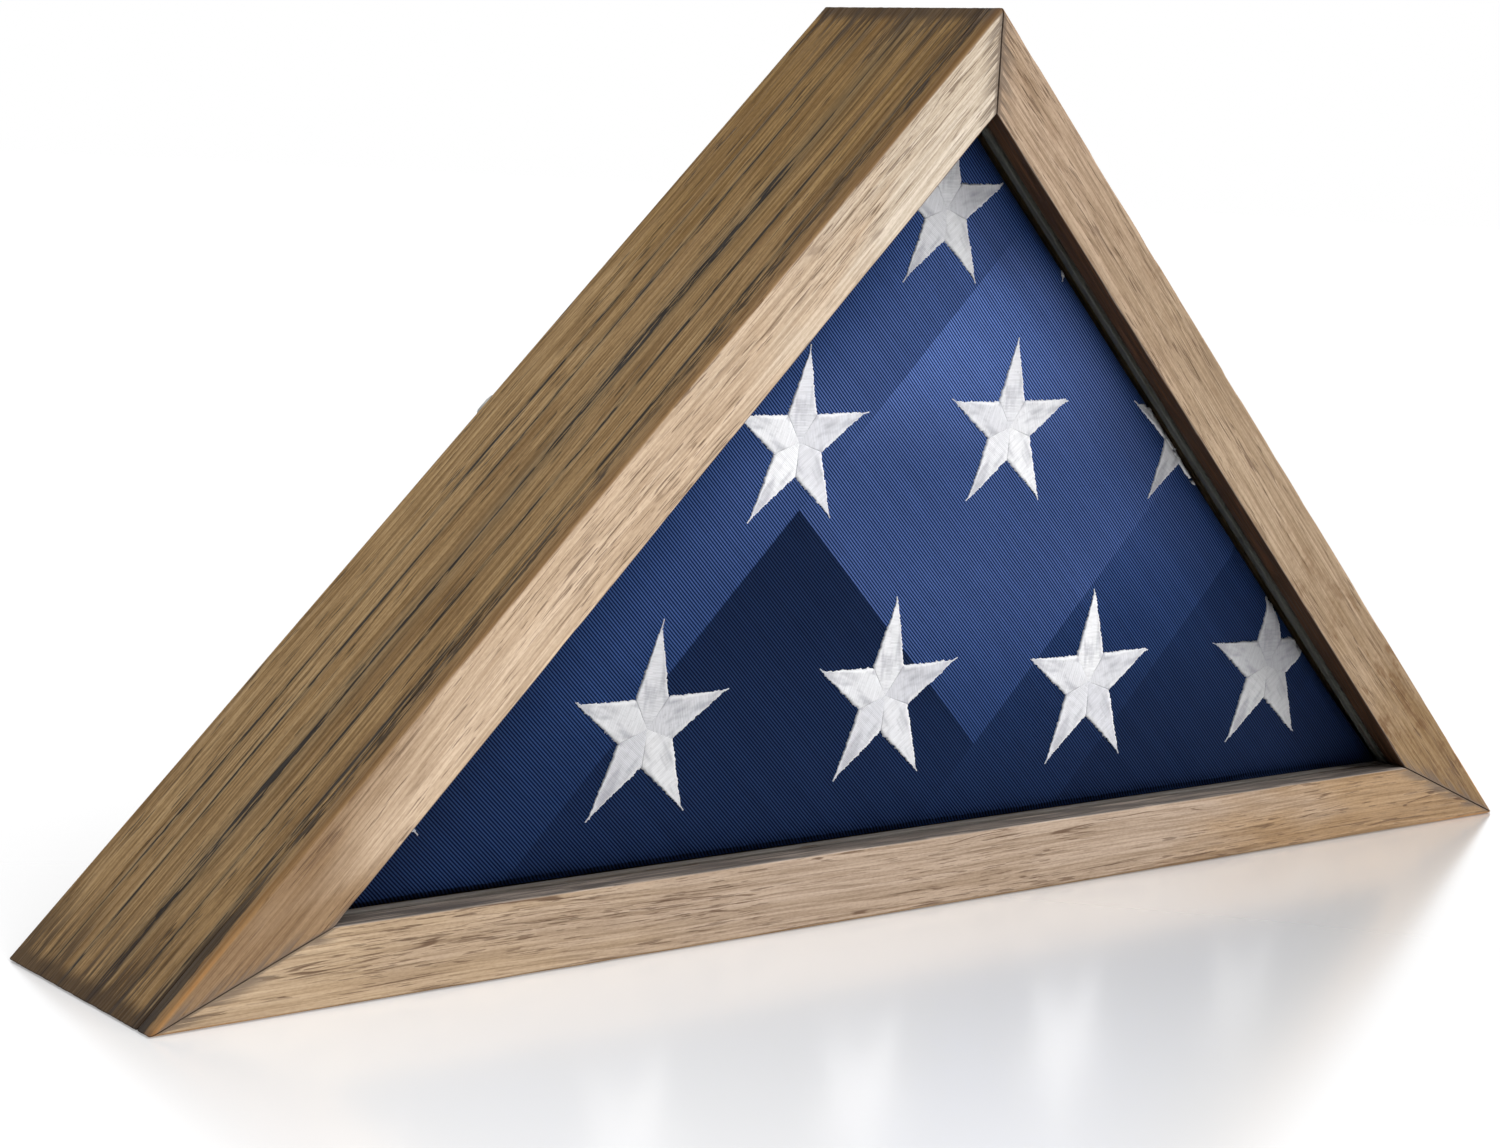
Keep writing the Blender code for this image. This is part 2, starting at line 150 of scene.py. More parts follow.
# Where the window's upper edges shade the cloth
WINDOW_RISE = 284 * MM
WINDOW_FALL = 290 * MM
FOLD_STEP = 0.5 * MM
FOLD_WIDTH = 2.2 * MM
WEAVE_PITCH = 1.05 * MM
PICK_PITCH = 1.5 * MM
PUFF_SHARE = 0.15
PUFF_LIMIT = 6 * MM
PUFF_FRAMES = 20
PUFF_SETTINGS = {
    "quality": 5, "mass": 0.3, "tension_stiffness": 15, "compression_stiffness": 15,
    "bending_stiffness": 0.5, "use_pressure": True, "uniform_pressure_force": 4,
}

# Screws
SCREW_HEAD_HEIGHT = 2.2 * MM
SCREW_CORE = 1.6 * MM
SCREW_POINT = 3 * MM
SCREW_SIDES = 64
SCREW_RINGS = 26
SCREW_SLOT_WIDTH = (0.35 * MM, 0.5 * MM)
SCREW_SLOT_REACH = (1.6 * MM, 1.9 * MM)
SCREW_SLOT_DEPTH = 1.1 * MM
EDGE_ANGLE = math.radians(40)
WELD_REACH = 0.00001
METAL_EDGE = 0.25 * MM
RUBBER_EDGE = 0.6 * MM

# Stars
STAR_WAIST = 0.372
STAR_HEIGHT = 0.6 * MM
STAR_ROWS = 64
STAR_RIM = 0.9
STAR_TAIL = 2.2 * MM
STAR_TAIL_WIDTH = 0.16 * MM
STAR_CURL = 0.8 * MM
STAR_RAGGED = 0.2 * MM
STAR_RIDGE = 0.07 * MM
# Points across an arm, as shares of its half width
STAR_LATERAL = (-1, -STAR_RIM, -0.7, -0.35, 0, 0.35, 0.7, STAR_RIM, 1)
STITCH = 0.55 * MM
STAR_STRETCH = (0.965, 1.03)
STAR_FOLD = 3.5 * MM
STAR_SEAM = 0.03 * MM
STAR_BACKING = 0.5 * MM
# The radius of each row's stars, then for each star its centre (x, z), how far it leans to the right for
# its height, and its thread's brightness, which paints the shade that the rails cast on it
FRONT_STARS = (
    (34.7 * MM, (
        (-0.2375, 0.0765, 0.12, 0.7), (-0.1288, 0.0737, 0.12, 0.72), (-0.0208, 0.0766, 0.09, 0.87),
        (0.0841, 0.0736, 0.01, 0.91), (0.1880, 0.0722, 0.03, 0.56),
    )),
    (31.5 * MM, (
        (-0.0687, 0.1703, 0.09, 0.96), (0.0330, 0.1732, 0.05, 0.94), (0.1285, 0.1705, 0.03, 0.7),
    )),
    (29.6 * MM, ((-0.0055, 0.2525, 0.05, 0.69), (0.0745, 0.2530, 0.05, 0.8))),
)
REAR_STAR_RADIUS = 33 * MM
REAR_STAR_PITCH = 103 * MM
REAR_STAR_TONE = 0.9
REAR_STAR_SEED = 40
REAR_STAR_ROWS = [(0.078, 4), (0.168, 2)]


# ---------------------------------------------------------------- repeatable noise

def hashed(cells, seed):
    """A repeatable number from 0 to 1 for each whole-number cell."""
    mixed = (cells * np.array([73856093, 19349663, 83492791])).sum(-1) + seed * 668265263
    mixed = (mixed ^ (mixed >> 13)) * 1274126177
    return ((mixed ^ (mixed >> 16)) & 0xFFFF) / 0xFFFF


def noise(points, seed):
    """Smooth value noise from 0 to 1 at each point, one cell to a unit."""
    cell = np.floor(points).astype(np.int64)
    part = points - cell
    part = part * part * (3 - 2 * part)
    total = np.zeros(len(points))
    for corner in np.ndindex(2, 2, 2):
        weight = np.prod(np.where(corner, part, 1 - part), axis=1)
        total += weight * hashed(cell + np.array(corner), seed)
    return total


def stretched_noise(points, sizes, seed):
    """Noise whose features have this size along each axis."""
    return noise(points / np.array(sizes) + seed * 17.3, seed)


def smoothstep(value, low, high):
    """0 below low, 1 above high, smooth in between."""
    share = np.clip((value - low) / (high - low), 0, 1)
    return share * share * (3 - 2 * share)


# ---------------------------------------------------------------- node materials

class Nodes:
    """The node tree of a world or a material, built by short calls."""

    def __init__(self, owner, output):
        owner.use_nodes = True
        self.tree = owner.node_tree
        self.output = self.tree.nodes[output].inputs["Surface"]

    def add(self, kind, inputs=(), **settings):
        node = self.tree.nodes.new("ShaderNode" + kind)
        for key, value in settings.items():
            setattr(node, key, value)
        for key, value in dict(inputs).items():
            self.feed(node.inputs[key], value)
        return node

    def feed(self, socket, value):
        if isinstance(value, bpy.types.NodeSocket):
            self.tree.links.new(value, socket)
        else:
            socket.default_value = value

    def math(self, operation, a, b=0.0, c=0.0):
        inputs = {0: a, 1: b, 2: c}
        return self.add("Math", inputs, operation=operation).outputs[0]

    def times(self, a, b):
        return self.math("MULTIPLY", a, b)

    def wave(self, phase):
        """A sine wave from 0 to 1."""
        return self.math("MULTIPLY_ADD", self.math("SINE", phase), 0.5, 0.5)

    def vector(self, operation, a, b):
        return self.add("VectorMath", {0: a, 1: b}, operation=operation).outputs[0]

    def axes(self, vector):
        return self.add("SeparateXYZ", {0: vector}).outputs

    def noise(self, vector, sizes, seed=0, detail=2.0, rough=0.5):
        """Noise from 0 to 1 whose features have this size along each axis."""
        scaled = self.vector("MULTIPLY", vector, tuple(1 / size for size in sizes))
        shifted = self.vector("ADD", scaled, (seed * 3.7, seed * 5.3, seed * 7.1))
        inputs = {"Vector": shifted, "Scale": 1.0, "Detail": detail, "Roughness": rough}
        return self.add("TexNoise", inputs).outputs["Fac"]

    def step(self, value, low, high, start=0.0, end=1.0):
        """Smooth change from start to end as the value goes from low to high."""
        inputs = {0: value, 1: low, 2: high, 3: start, 4: end}
        return self.add("MapRange", inputs, interpolation_type="SMOOTHSTEP").outputs[0]

    def mix_shaders(self, share, a, b):
        """Shows the second shader as far as the share says."""
        self.feed(self.output, self.add("MixShader", {0: share, 1: a, 2: b}).outputs[0])

    def mix(self, share, a, b, blend="MIX"):
        node = self.add("Mix", data_type="RGBA", blend_type=blend)
        self.feed(node.inputs[0], share)
        self.feed(node.inputs[6], a)
        self.feed(node.inputs[7], b)
        return node.outputs[2]

    def between(self, share, a, b):
        """A number that goes from a to b as the share goes from 0 to 1."""
        return self.math("MULTIPLY_ADD", share, self.math("SUBTRACT", b, a), a)

    def shade(self, colour, factor):
        """The colour times a grey number."""
        grey = self.add("CombineColor", {0: factor, 1: factor, 2: factor}).outputs[0]
        return self.mix(1.0, colour, grey, "MULTIPLY")

    def tint(self, share, colour, tone):
        """The colour multiplied by a tone, as far as the share says."""
        return self.mix(share, colour, tone + (1.0,), "MULTIPLY")

    def attribute(self, name):
        return self.add("Attribute", attribute_name=name).outputs["Fac"]

    def bump(self, height, distance, strength=1.0):
        inputs = {"Height": height, "Distance": distance, "Strength": strength}
        return self.add("Bump", inputs).outputs[0]


class Surface(Nodes):
    """A material."""

    def __init__(self, name):
        self.material = bpy.data.materials.new(name)
        super().__init__(self.material, "Material Output")
        self.place = self.add("TexCoord").outputs["Object"]

    def finish(self, colour, roughness, normal, **values):
        """Feeds the Principled shader. Values are plain numbers by socket name."""
        inputs = self.tree.nodes["Principled BSDF"].inputs
        self.feed(inputs["Base Color"], colour)
        self.feed(inputs["Roughness"], roughness)
        self.feed(inputs["Normal"], normal)
        for key, value in values.items():
            inputs[key.replace("_", " ")].default_value = value
        return self.material

    def glossy_at_grazing(self, base, shine, *ramp):
        """Mixes in the shine by how steeply the surface is seen. The ramp is step's arguments."""
        facing = self.add("LayerWeight", {"Blend": 0.5}).outputs["Facing"]
        self.mix_shaders(self.step(facing, *ramp), base, shine)
        return self.material


def rgb(red, green, blue):
    """A linear colour from display values of 0 to 255."""
    def linear(value):
        share = value / 255
        return share / 12.92 if share < 0.04045 else ((share + 0.055) / 1.055) ** 2.4
    return (linear(red), linear(green), linear(blue), 1.0)


# Stains at the start, the middle and the end of each side
RAIL_STAINS = {
    "left": (rgb(203, 190, 173), rgb(195, 173, 149), rgb(138, 112, 84)),
    "right": (rgb(130, 105, 73), rgb(160, 139, 115), rgb(171, 149, 127)),
    "bottom": (rgb(176, 154, 127), rgb(163, 144, 126), rgb(155, 128, 97)),
}
BOARD_STAINS = {
    "left": (rgb(160, 129, 82), rgb(181, 151, 108), rgb(174, 145, 104)),
    "right": (rgb(148, 124, 92), rgb(160, 136, 104), rgb(150, 126, 94)),
    "bottom": (rgb(172, 144, 104), rgb(178, 150, 110), rgb(170, 142, 102)),
}
# Grey tones of the glass stops and ledges, partly stain and partly painted shade of the recess behind the
# lips
STRIP_STAINS_AND_SHADE = {
    "left": (rgb(76, 72, 66), rgb(72, 68, 62), rgb(70, 66, 60)),
    "right": (rgb(82, 84, 80), rgb(78, 80, 76), rgb(74, 76, 72)),
    "bottom": (rgb(98, 94, 90), rgb(94, 90, 86), rgb(90, 86, 82)),
}
RAIL_CRACKS = {"left": 0.35, "right": 0.5, "bottom": 0.8}
RAIL_LINE = rgb(84, 62, 46)
BOARD_LINE = rgb(36, 30, 25)
# Painted shade on the inner faces of the rails' lips, in the recess in front of the glass
LIP_SHADE_TONES = {
    "left": (rgb(40, 32, 27), rgb(74, 58, 44)),
    "right": (rgb(44, 28, 16), rgb(64, 41, 25)),
    "bottom": (rgb(60, 54, 50), rgb(96, 87, 80)),
}
DIRT = rgb(40, 34, 30)
MITRE_LINE = rgb(48, 40, 36)
RAIL_DIRT = rgb(98, 84, 72)
BOARD_DIRT = rgb(52, 38, 26)
STREAK_HALO = rgb(96, 88, 70)
SPOTS = rgb(96, 68, 40)
RUST = (rgb(112, 80, 48), rgb(146, 102, 58))
WORN = (rgb(118, 90, 60), rgb(170, 122, 72))
# Painted highlight along the rails' inner front arris
ARRIS_HIGHLIGHT = rgb(206, 188, 174)
STREAK_DEPTHS = (12 * MM, 27 * MM, 62 * MM, 74 * MM)
STREAK_WANDER = 5 * MM


class Grain:
    """Wood grown along the piece's own X: its noises, and the colour that they make."""

    def __init__(self, name, seed, length):
        g = Surface(name)
        g.place = g.add("Attribute", attribute_name="grain").outputs["Vector"]
        self.g = g
        self.seed = seed
        along, self.across, front = g.axes(g.place)
        self.depth = g.math("SUBTRACT", -CASE_FRONT, front)
        self.share = g.math("DIVIDE", along, length)
        drift = g.noise(g.place, (0.25, 0.05, 0.05), seed, 1.0)
        drift = g.math("MULTIPLY_ADD", drift, 14 * MM, -7 * MM)
        self.bent = g.vector("ADD", g.place, g.add("CombineXYZ", {1: drift, 2: drift}).outputs[0])
        self.bands = self.streaks(700, 10, 1, 2.0, 0.6)
        self.lines = self.streaks(220, 1.8, 2, 2.0)
        self.fibres = self.streaks(42, 0.9, 3, 1.0, 0.6)
        self.ticks = self.streaks(11, 0.42, 12, 1.0, 0.4)
        self.cracks = self.streaks(110, 8, 13, 1.0)
        self.specks = self.spots(2, 0.8, 11, 1.0)
        self.patches = self.spots(60, 5, 5, 2.0)
        self.clouds = self.spots(80, 24, 6, 3.0, 0.6)
        dashes = self.streaks(14, 0.8, 4, 1.0, 0.4)
        self.pores = g.times(g.step(dashes, 0.60, 0.66), g.step(self.patches, 0.47, 0.58))

    def streaks(self, length, width, seed, detail=2.0, rough=0.5):
        """Noise this long and wide, in millimetres, along the wandering grain."""
        sizes = (length * MM, width * MM, width * MM)
        return self.g.noise(self.bent, sizes, self.seed + seed, detail, rough)

    def spots(self, length, width, seed, detail=2.0, rough=0.5):
        """Noise this long and wide, in millimetres, along the straight piece."""
        sizes = (length * MM, width * MM, width * MM)
        return self.g.noise(self.g.place, sizes, self.seed + seed, detail, rough)

    def swell(self, length, seed):
        """Noise that only changes along the piece."""
        return self.g.noise(self.g.place, (length, 9, 9), self.seed + seed, 2.0)

    def stained(self, stains):
        """The stain's tone, which drifts from the start to the middle and the end of the piece."""
        g = self.g
        place = g.math("MULTIPLY_ADD", self.clouds, 0.5, self.share)
        colour = g.mix(g.step(place, 0.35, 0.62), stains[0], stains[1])
        return g.mix(g.step(place, 0.88, 1.12), colour, stains[2])

    def grown(self, colour, line, pores, broad, fine):
        """The colour with broad bands and lines, fine fibres, and rings and pores of the line's colour."""
        g = self.g
        for marks, low, high, share, tone in (
            (self.bands, 0.43, 0.58, broad, (0.80, 0.76, 0.70)),
            (self.clouds, 0.45, 0.70, broad, (0.86, 0.82, 0.76)),
            (self.lines, 0.42, 0.60, broad, (0.62, 0.57, 0.50)),
            (self.fibres, 0.44, 0.60, fine, (0.66, 0.62, 0.58)),
            (self.specks, 0.42, 0.62, fine, (0.84, 0.82, 0.80)),
        ):
            colour = g.tint(g.step(marks, low, high, 0.0, share), colour, tone)
        ring = g.math("PINGPONG", g.times(self.bands, 7.0), 0.5)
        ring = g.times(g.step(ring, 0.05, 0.01), g.step(self.fibres, 0.42, 0.54))
        colour = g.mix(g.times(ring, 0.5 * broad), colour, line)
        return g.mix(g.times(self.pores, pores), colour, line)

    def checked(self, colour, line, ticks, cracks):
        """The colour with clusters of short thin pores, and long thin wavy cracks."""
        g = self.g
        cluster = g.step(self.clouds, 0.44, 0.56, 0.25, 1.0)
        marks = g.times(g.step(self.ticks, 0.61, 0.66), cluster)
        colour = g.mix(g.times(marks, ticks), colour, line)
        away = g.math("ABSOLUTE", g.math("SUBTRACT", self.cracks, 0.5))
        crack = g.times(g.step(away, 0.013, 0.004), g.step(self.patches, 0.44, 0.54))
        crack = g.times(crack, g.step(self.fibres, 0.42, 0.50))
        return g.mix(g.times(crack, cracks), colour, line)

    def aged(self, colour, dirt, reach):
        """The colour with dark mitres, and dirt that runs in from them along the grain."""
        g = self.g
        mitre = g.attribute("mitre")
        ragged = self.streaks(60, 2.4, 8, 3.0, 0.7)
        stripes = g.times(g.step(mitre, 1.6 * reach, 0.3 * reach), g.step(ragged, 0.46, 0.56))
        solid = g.math("MULTIPLY_ADD", ragged, -0.4 * reach, mitre)
        solid = g.step(solid, 0.2 * reach, -0.05 * reach)
        soiled = g.times(g.math("MAXIMUM", stripes, solid), 0.8)
        colour = g.mix(soiled, colour, dirt)
        joint = g.times(g.step(mitre, 0.7 * MM, 0.15 * MM), g.step(ragged, 0.3, 0.6, 0.45, 0.85))
        return g.mix(joint, colour, MITRE_LINE)

    def streaked(self, colour, depth, width, line):
        """The colour with a dark broken streak along the outer face, this deep behind the front."""
        g = self.g
        seed = depth / MM
        path = g.math("MULTIPLY_ADD", self.swell(0.2, seed), STREAK_WANDER, self.depth)
        away = g.math("ABSOLUTE", g.math("SUBTRACT", path, depth + STREAK_WANDER / 2))
        half = g.step(self.swell(0.06, seed + 1), 0.35, 0.60, 0.1 * width, 0.5 * width)
        half = g.times(half, g.step(self.share, 0.02, 0.25, 0.35, 1.0))
        inside = g.step(g.math("SUBTRACT", away, half), 0.4 * MM, -0.3 * MM)
        strands = self.streaks(17, 1.1, seed + 2, 2.0, 0.7)
        halo = g.times(g.step(away, 2 * width, 0.0, 0.0, 0.35), self.outer())
        colour = g.mix(halo, colour, STREAK_HALO)
        dark = g.times(inside, g.step(strands, 0.40, 0.47))
        return g.mix(g.times(dark, self.outer()), colour, line)

    def outer(self):
        """1 on the piece's outer face and 0 elsewhere."""
        return self.g.step(self.across, 1.2 * MM, 0.4 * MM)

    def near_end(self, far=85 * MM, near=35 * MM):
        """1 towards the base's corners, 0 along the rest of the piece."""
        g = self.g
        height = g.axes(g.add("TexCoord").outputs["Object"])[2]
        return g.times(g.step(g.attribute("mitre"), far, near), g.step(height, 0.16, 0.10))

    def strands(self, seed):
        """Broken fine strands, for dirt that has gathered along a line."""
        g = self.g
        strands = g.step(self.streaks(16, 1, seed, 2.0, 0.7), 0.42, 0.54)
        return g.times(strands, g.step(self.swell(0.05, seed + 1), 0.30, 0.55, 0.35, 1.0))

    def finish(self, colour):
        """The wood's material, with its grain in relief."""
        g = self.g
        height = g.math("MULTIPLY_ADD", self.lines, -0.5, 1.0)
        height = g.math("MULTIPLY_ADD", self.fibres, -0.5, height)
        height = g.math("MULTIPLY_ADD", self.pores, -0.6, height)
        rough = g.step(self.fibres, 0.35, 0.65, 0.55, 0.8)
        return g.finish(colour, rough, g.bump(height, 0.35 * MM, 0.9), Specular_IOR_Level=0.15)


def rail_wood(side, seed, lip):
    """Light front rail: stained darker at its outer face, with painted shade on the inner face of its lip.
    """
    w = Grain("rail_wood_" + side, seed, side_length(side))
    g = w.g
    colour = g.mix(w.outer(), w.stained(RAIL_STAINS[side]), w.stained(BOARD_STAINS[side]))
    colour = w.grown(colour, RAIL_LINE, 0.6, 0.42, 0.5)
    colour = w.checked(colour, RAIL_LINE, 0.7, RAIL_CRACKS[side])
    if side == "right":
        spots = g.step(w.spots(15, 7, 7, 3.0, 0.65), 0.52, 0.66, 0.0, 0.75)
        spots = g.times(spots, g.step(w.share, 0.55, 0.1, 0.25, 1.0))
        colour = g.mix(spots, colour, SPOTS)
    colour = w.aged(colour, RAIL_DIRT, 9 * MM)
    colour = g.tint(w.outer(), colour, (0.80, 0.78, 0.77))

    near_end = w.near_end()
    depth = g.math("MULTIPLY_ADD", w.spots(9, 1.5, 9, 3.0, 0.65), 2.4 * MM, w.depth)
    rust = g.times(g.step(depth, 7 * MM, 3 * MM, 0.0, 0.6), g.step(w.fibres, 0.35, 0.6, 0.6, 1.0))
    colour = g.mix(g.times(rust, w.outer()), colour, g.mix(near_end, *RUST))
    strands = g.math("MAXIMUM", w.strands(10), near_end)
    band = g.step(g.math("SUBTRACT", depth, g.between(near_end, 6.4 * MM, 5.2 * MM)), 0.0, 0.8 * MM)
    dark = g.times(g.times(band, strands), w.outer())
    colour = g.mix(g.times(dark, 0.85), colour, DIRT)

    arris = g.attribute("arris")
    worn = g.times(g.math("MAXIMUM", arris, 0.0), g.step(w.clouds, 0.35, 0.65, 0.15, 0.6))
    colour = g.mix(worn, colour, g.mix(w.near_end(60 * MM, 20 * MM), *WORN))
    # Painted highlight on the inner front arris
    painted_highlight = g.times(g.math("MAXIMUM", g.times(arris, -1.0), 0.0), 0.6)
    colour = g.mix(painted_highlight, colour, ARRIS_HIGHLIGHT)
    # Painted shade on the lip's inner face
    inner = g.step(w.across, lip - 0.9 * MM, lip - 0.3 * MM)
    painted = g.mix(g.step(w.fibres, 0.5, 0.62), *LIP_SHADE_TONES[side])
    return w.finish(g.mix(inner, colour, painted))


def board_wood(side, seed):
    """Brown board: a dark broken streak along its middle, and thin ones beside it."""
    w = Grain("board_wood_" + side, seed, side_length(side))
    colour = w.grown(w.stained(BOARD_STAINS[side]), BOARD_LINE, 0.7, 0.75, 0.8)
    colour = w.streaked(colour, 42 * MM, 4.5 * MM, BOARD_LINE)
    for depth in STREAK_DEPTHS:
        colour = w.streaked(colour, depth, 1.3 * MM, BOARD_LINE)
    g = w.g
    behind = g.times(g.step(w.depth, 12.5 * MM, 10 * MM), w.outer())
    glue = g.times(behind, g.math("MAXIMUM", w.strands(20), w.near_end()))
    glue = g.times(glue, g.step(w.fibres, 0.3, 0.5, 0.5, 0.85))
    return w.finish(w.aged(g.mix(glue, colour, DIRT), BOARD_DIRT, 26 * MM))


def strip_wood(name, seed, side):
    """Dark grey wood of the strips inside, partly their stain and partly painted shade of the recess behind
    the lips.
    """
    w = Grain(name, seed, side_length(side))
    return w.finish(w.grown(w.stained(STRIP_STAINS_AND_SHADE[side]), RAIL_LINE, 0.4, 0.35, 0.5))


# ---------------------------------------------------------------- mitred wood

def side_matrix(side):
    """Placement of a side: local X along it, local Y into the case, local Z to the front."""
    start, end = (CORNERS[corner] for corner in SIDES[side])
    along = (end - start).normalized()
    front = Vector((0, -1, 0))
    axes = Matrix((along, front.cross(along), front)).transposed()
    return Matrix.Translation(start) @ axes.to_4x4()


def side_length(side):
    start, end = (CORNERS[corner] for corner in SIDES[side])
    return (end - start).length


def rounded_profile(low, high, radii, steps):
    """A rectangle's outline with its own radius at each corner.

    Returns the points, the outward normals, and how much each lies on a front arris: above 0 on
    the outer one and below 0 on the inner one.
    Steps are the point spacings of the rear, inner, front and outer faces.
    """
    corners = [low, (high[0], low[1]), high, (low[0], high[1])]
    points, normals, arris = [], [], []
    for k, (corner, radius) in enumerate(zip(corners, radii)):
        start = math.pi + k * math.pi / 2
        middle = start + math.pi / 4
        centre = np.array(corner) - radius * math.sqrt(2) * np.array((math.cos(middle), math.sin(middle)))
        for angle in np.linspace(start, start + math.pi / 2, ARRIS_POINTS):
            normal = np.array((math.cos(angle), math.sin(angle)))
            points.append(centre + radius * normal)
            normals.append(normal)
            arris.append(math.sin(2 * (angle - start)) * ARRIS_SIGN[k])
        after = (k + 1) % 4
        way = np.array(corners[after]) - np.array(corner)
        length = np.abs(way).sum() - radius - radii[after]
        count = max(1, round(length / steps[k]))
        flat = points[-1].copy()
        direction = np.sign(way)
        for i in range(1, count):
            points.append(flat + direction * length * i / count)
            normals.append(normals[-1])
            arris.append(0.0)
    return np.array(points), np.array(normals), np.array(arris)


def mitred_piece(name, side, inset, depth, material, seed, radii, steps, length_step, relief):
    """A wooden strip along a side, mitred at both ends.

    Inset is its (outer, inner) distance from the case's outside and depth its (front, rear)
    world y. The surface is worn by relief, only inwards, so that it stays in its CAD box.
    """
    low = (inset[0], -depth[1])
    high = (inset[1], -depth[0])
    ring, normals, arris = rounded_profile(low, high, radii, steps)
    start, end = (HALF_ANGLE[corner] for corner in SIDES[side])
    length = side_length(side)
    half = MITRE_GAP / 2

    def ends(across):
        first = across / math.tan(start) + half / math.sin(start)
        last = length - across / math.tan(end) - half / math.sin(end)
        return first, last

    first, last = ends(ring[:, 0])
    tight = ring - normals * MITRE_EASE
    tight_first, tight_last = ends(tight[:, 0])
    spans = last - first - 2 * MITRE_EASE
    rings = [np.column_stack((tight_first, tight))]
    for share in np.linspace(0, 1, round(length / length_step)):
        rings.append(np.column_stack((first + MITRE_EASE + spans * share, ring)))
    rings.append(np.column_stack((tight_last, tight)))
    points = np.concatenate(rings)
    many, around = len(rings), len(ring)
    out = np.tile(np.column_stack((np.zeros(around), normals)), (many, 1))
    bends = np.tile(arris, many)

    uneven = stretched_noise(points, (45 * MM, 6 * MM, 6 * MM), seed + 3)
    grooves = stretched_noise(points, (70 * MM, 1.6 * MM, 1.6 * MM), seed + 4)
    dents = smoothstep(stretched_noise(points, (14 * MM, 9 * MM, 9 * MM), seed + 5), 0.55, 0.95)
    sunk = relief * (0.5 * uneven + 0.8 * grooves)
    sunk += np.abs(bends) * relief * 3.0 * dents
    points -= out * sunk[:, None]

    faces = ring_faces(many, around)
    faces.append(tuple(range(around)))
    faces.append(tuple(range((many - 1) * around, many * around)))
    piece = mesh_object(name, points, faces, material)
    set_attribute(piece, "arris", bends)
    piece.data.transform(side_matrix(side))
    return piece


def ring_faces(many, around):
    """Quads between rings of points that follow one another."""
    faces = []
    for i in range(many - 1):
        for j in range(around):
            a, b = i * around + j, i * around + (j + 1) % around
            faces.append((a, b, b + around, a + around))
    return faces


def mark_grain(piece, side):
    """Stores where each point is along, across and through its side, and how far from a mitre."""
    turn = np.array(side_matrix(side).inverted())
    points = points_of(piece.data) @ turn[:3, :3].T + turn[:3, 3]
    start, end = (math.tan(HALF_ANGLE[corner]) for corner in SIDES[side])
    along, across = points[:, 0], points[:, 1]
    to_end = side_length(side) - across / end - along
    set_attribute(piece, "mitre", np.minimum(along - across / start, to_end))
    layer = piece.data.attributes.new("grain", "FLOAT_VECTOR", "POINT")
    layer.data.foreach_set("vector", points.astype(np.float32).ravel())


def new_object(name, data):
    """A new object in the scene."""
    piece = bpy.data.objects.new(name, data)
    bpy.context.scene.collection.objects.link(piece)
    return piece


def mesh_of(name, shape):
    """A mesh with the shape, which isn't used again."""
    mesh = bpy.data.meshes.new(name)
    shape.to_mesh(mesh)
    shape.free()
    return mesh


def mesh_object(name, points, faces, material):
    """A closed mesh object with smooth shading and outward faces."""
    mesh = bpy.data.meshes.new(name)
    mesh.from_pydata(np.asarray(points).tolist(), [], faces)
    shape = bmesh.new()
    shape.from_mesh(mesh)
    bmesh.ops.recalc_face_normals(shape, faces=shape.faces)
    shape.to_mesh(mesh)
    shape.free()
    mesh.shade_smooth()
    mesh.set_sharp_from_angle(angle=SHARP_ANGLE)
    mesh.materials.append(material)
    return new_object(name, mesh)


def shown(piece):
    """The piece with its modifiers."""
    return piece.evaluated_get(bpy.context.evaluated_depsgraph_get())


def points_of(mesh):
    return np.array([vertex.co for vertex in mesh.vertices])


def move_points(mesh, points):
    mesh.vertices.foreach_set("co", points.astype(np.float32).ravel())


def set_attribute(piece, name, values):
    """Stores one number for each point of a piece."""
    layer = piece.data.attributes.new(name, "FLOAT", "POINT")
    layer.data.foreach_set("value", np.asarray(values, np.float32))


def stand_for(piece, node, body):
    """Puts a piece in the place of a CAD node."""
    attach(piece, body)
    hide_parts(node)
    return piece


def slot_for_nails(board):
    """Cuts a slot, open to the rear, for each nail that crosses the board's mitres."""
    for name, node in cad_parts.items():
        if not name.startswith("corner_nail_"):
            continue
        shape = bmesh.new()
        shape.from_mesh(node.data)
        shape.normal_update()
        middle = sum(vertex.co.y for vertex in shape.verts) / len(shape.verts)
        for vertex in shape.verts:
            vertex.co += vertex.normal * NAIL_CLEARANCE
            if vertex.co.y > middle:
                vertex.co.y = CASE_REAR + SLOT_BEYOND
        cutter = new_object("slot", mesh_of("slot", shape))
        cut = board.modifiers.new("slot", "BOOLEAN")
        cut.operation = "DIFFERENCE"
        cut.object = cutter
        bpy.context.view_layer.update()
        board.data = bpy.data.meshes.new_from_object(shown(board))
        board.modifiers.clear()
        bpy.data.objects.remove(cutter)


def add_wood(node, side, inset, shape, material, seed):
    """A mitred piece in the place of a CAD node."""
    low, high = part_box(node)
    piece = mitred_piece("wood_" + node, side, inset, (low.y, high.y), material, seed, **shape)
    if node in BOARDS.values():
        slot_for_nails(piece)
    mark_grain(piece, side)
    stand_for(piece, node, "case")


def make_wood():
    """Rails, boards, glass stops and ledges."""
    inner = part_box("glass_stop_bottom")[1].z
    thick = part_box("base_board")[1].z
    for side, seed in RAIL_SEEDS.items():
        wood = rail_wood(side, seed, inner)
        add_wood("face_rail_" + side, side, (0, inner), RAIL_SHAPE, wood, seed)
        wood = board_wood(side, seed + 40)
        add_wood(BOARDS[side], side, (0, thick), BOARD_SHAPE, wood, seed + 50)
        for kind, shift in STRIPS.items():
            low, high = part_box(kind + "bottom")
            wood = strip_wood(kind + side + "_wood", seed + shift, side)
            add_wood(kind + side, side, (low.z, high.z), STRIP_SHAPE, wood, seed + shift)


# ---------------------------------------------------------------- flag

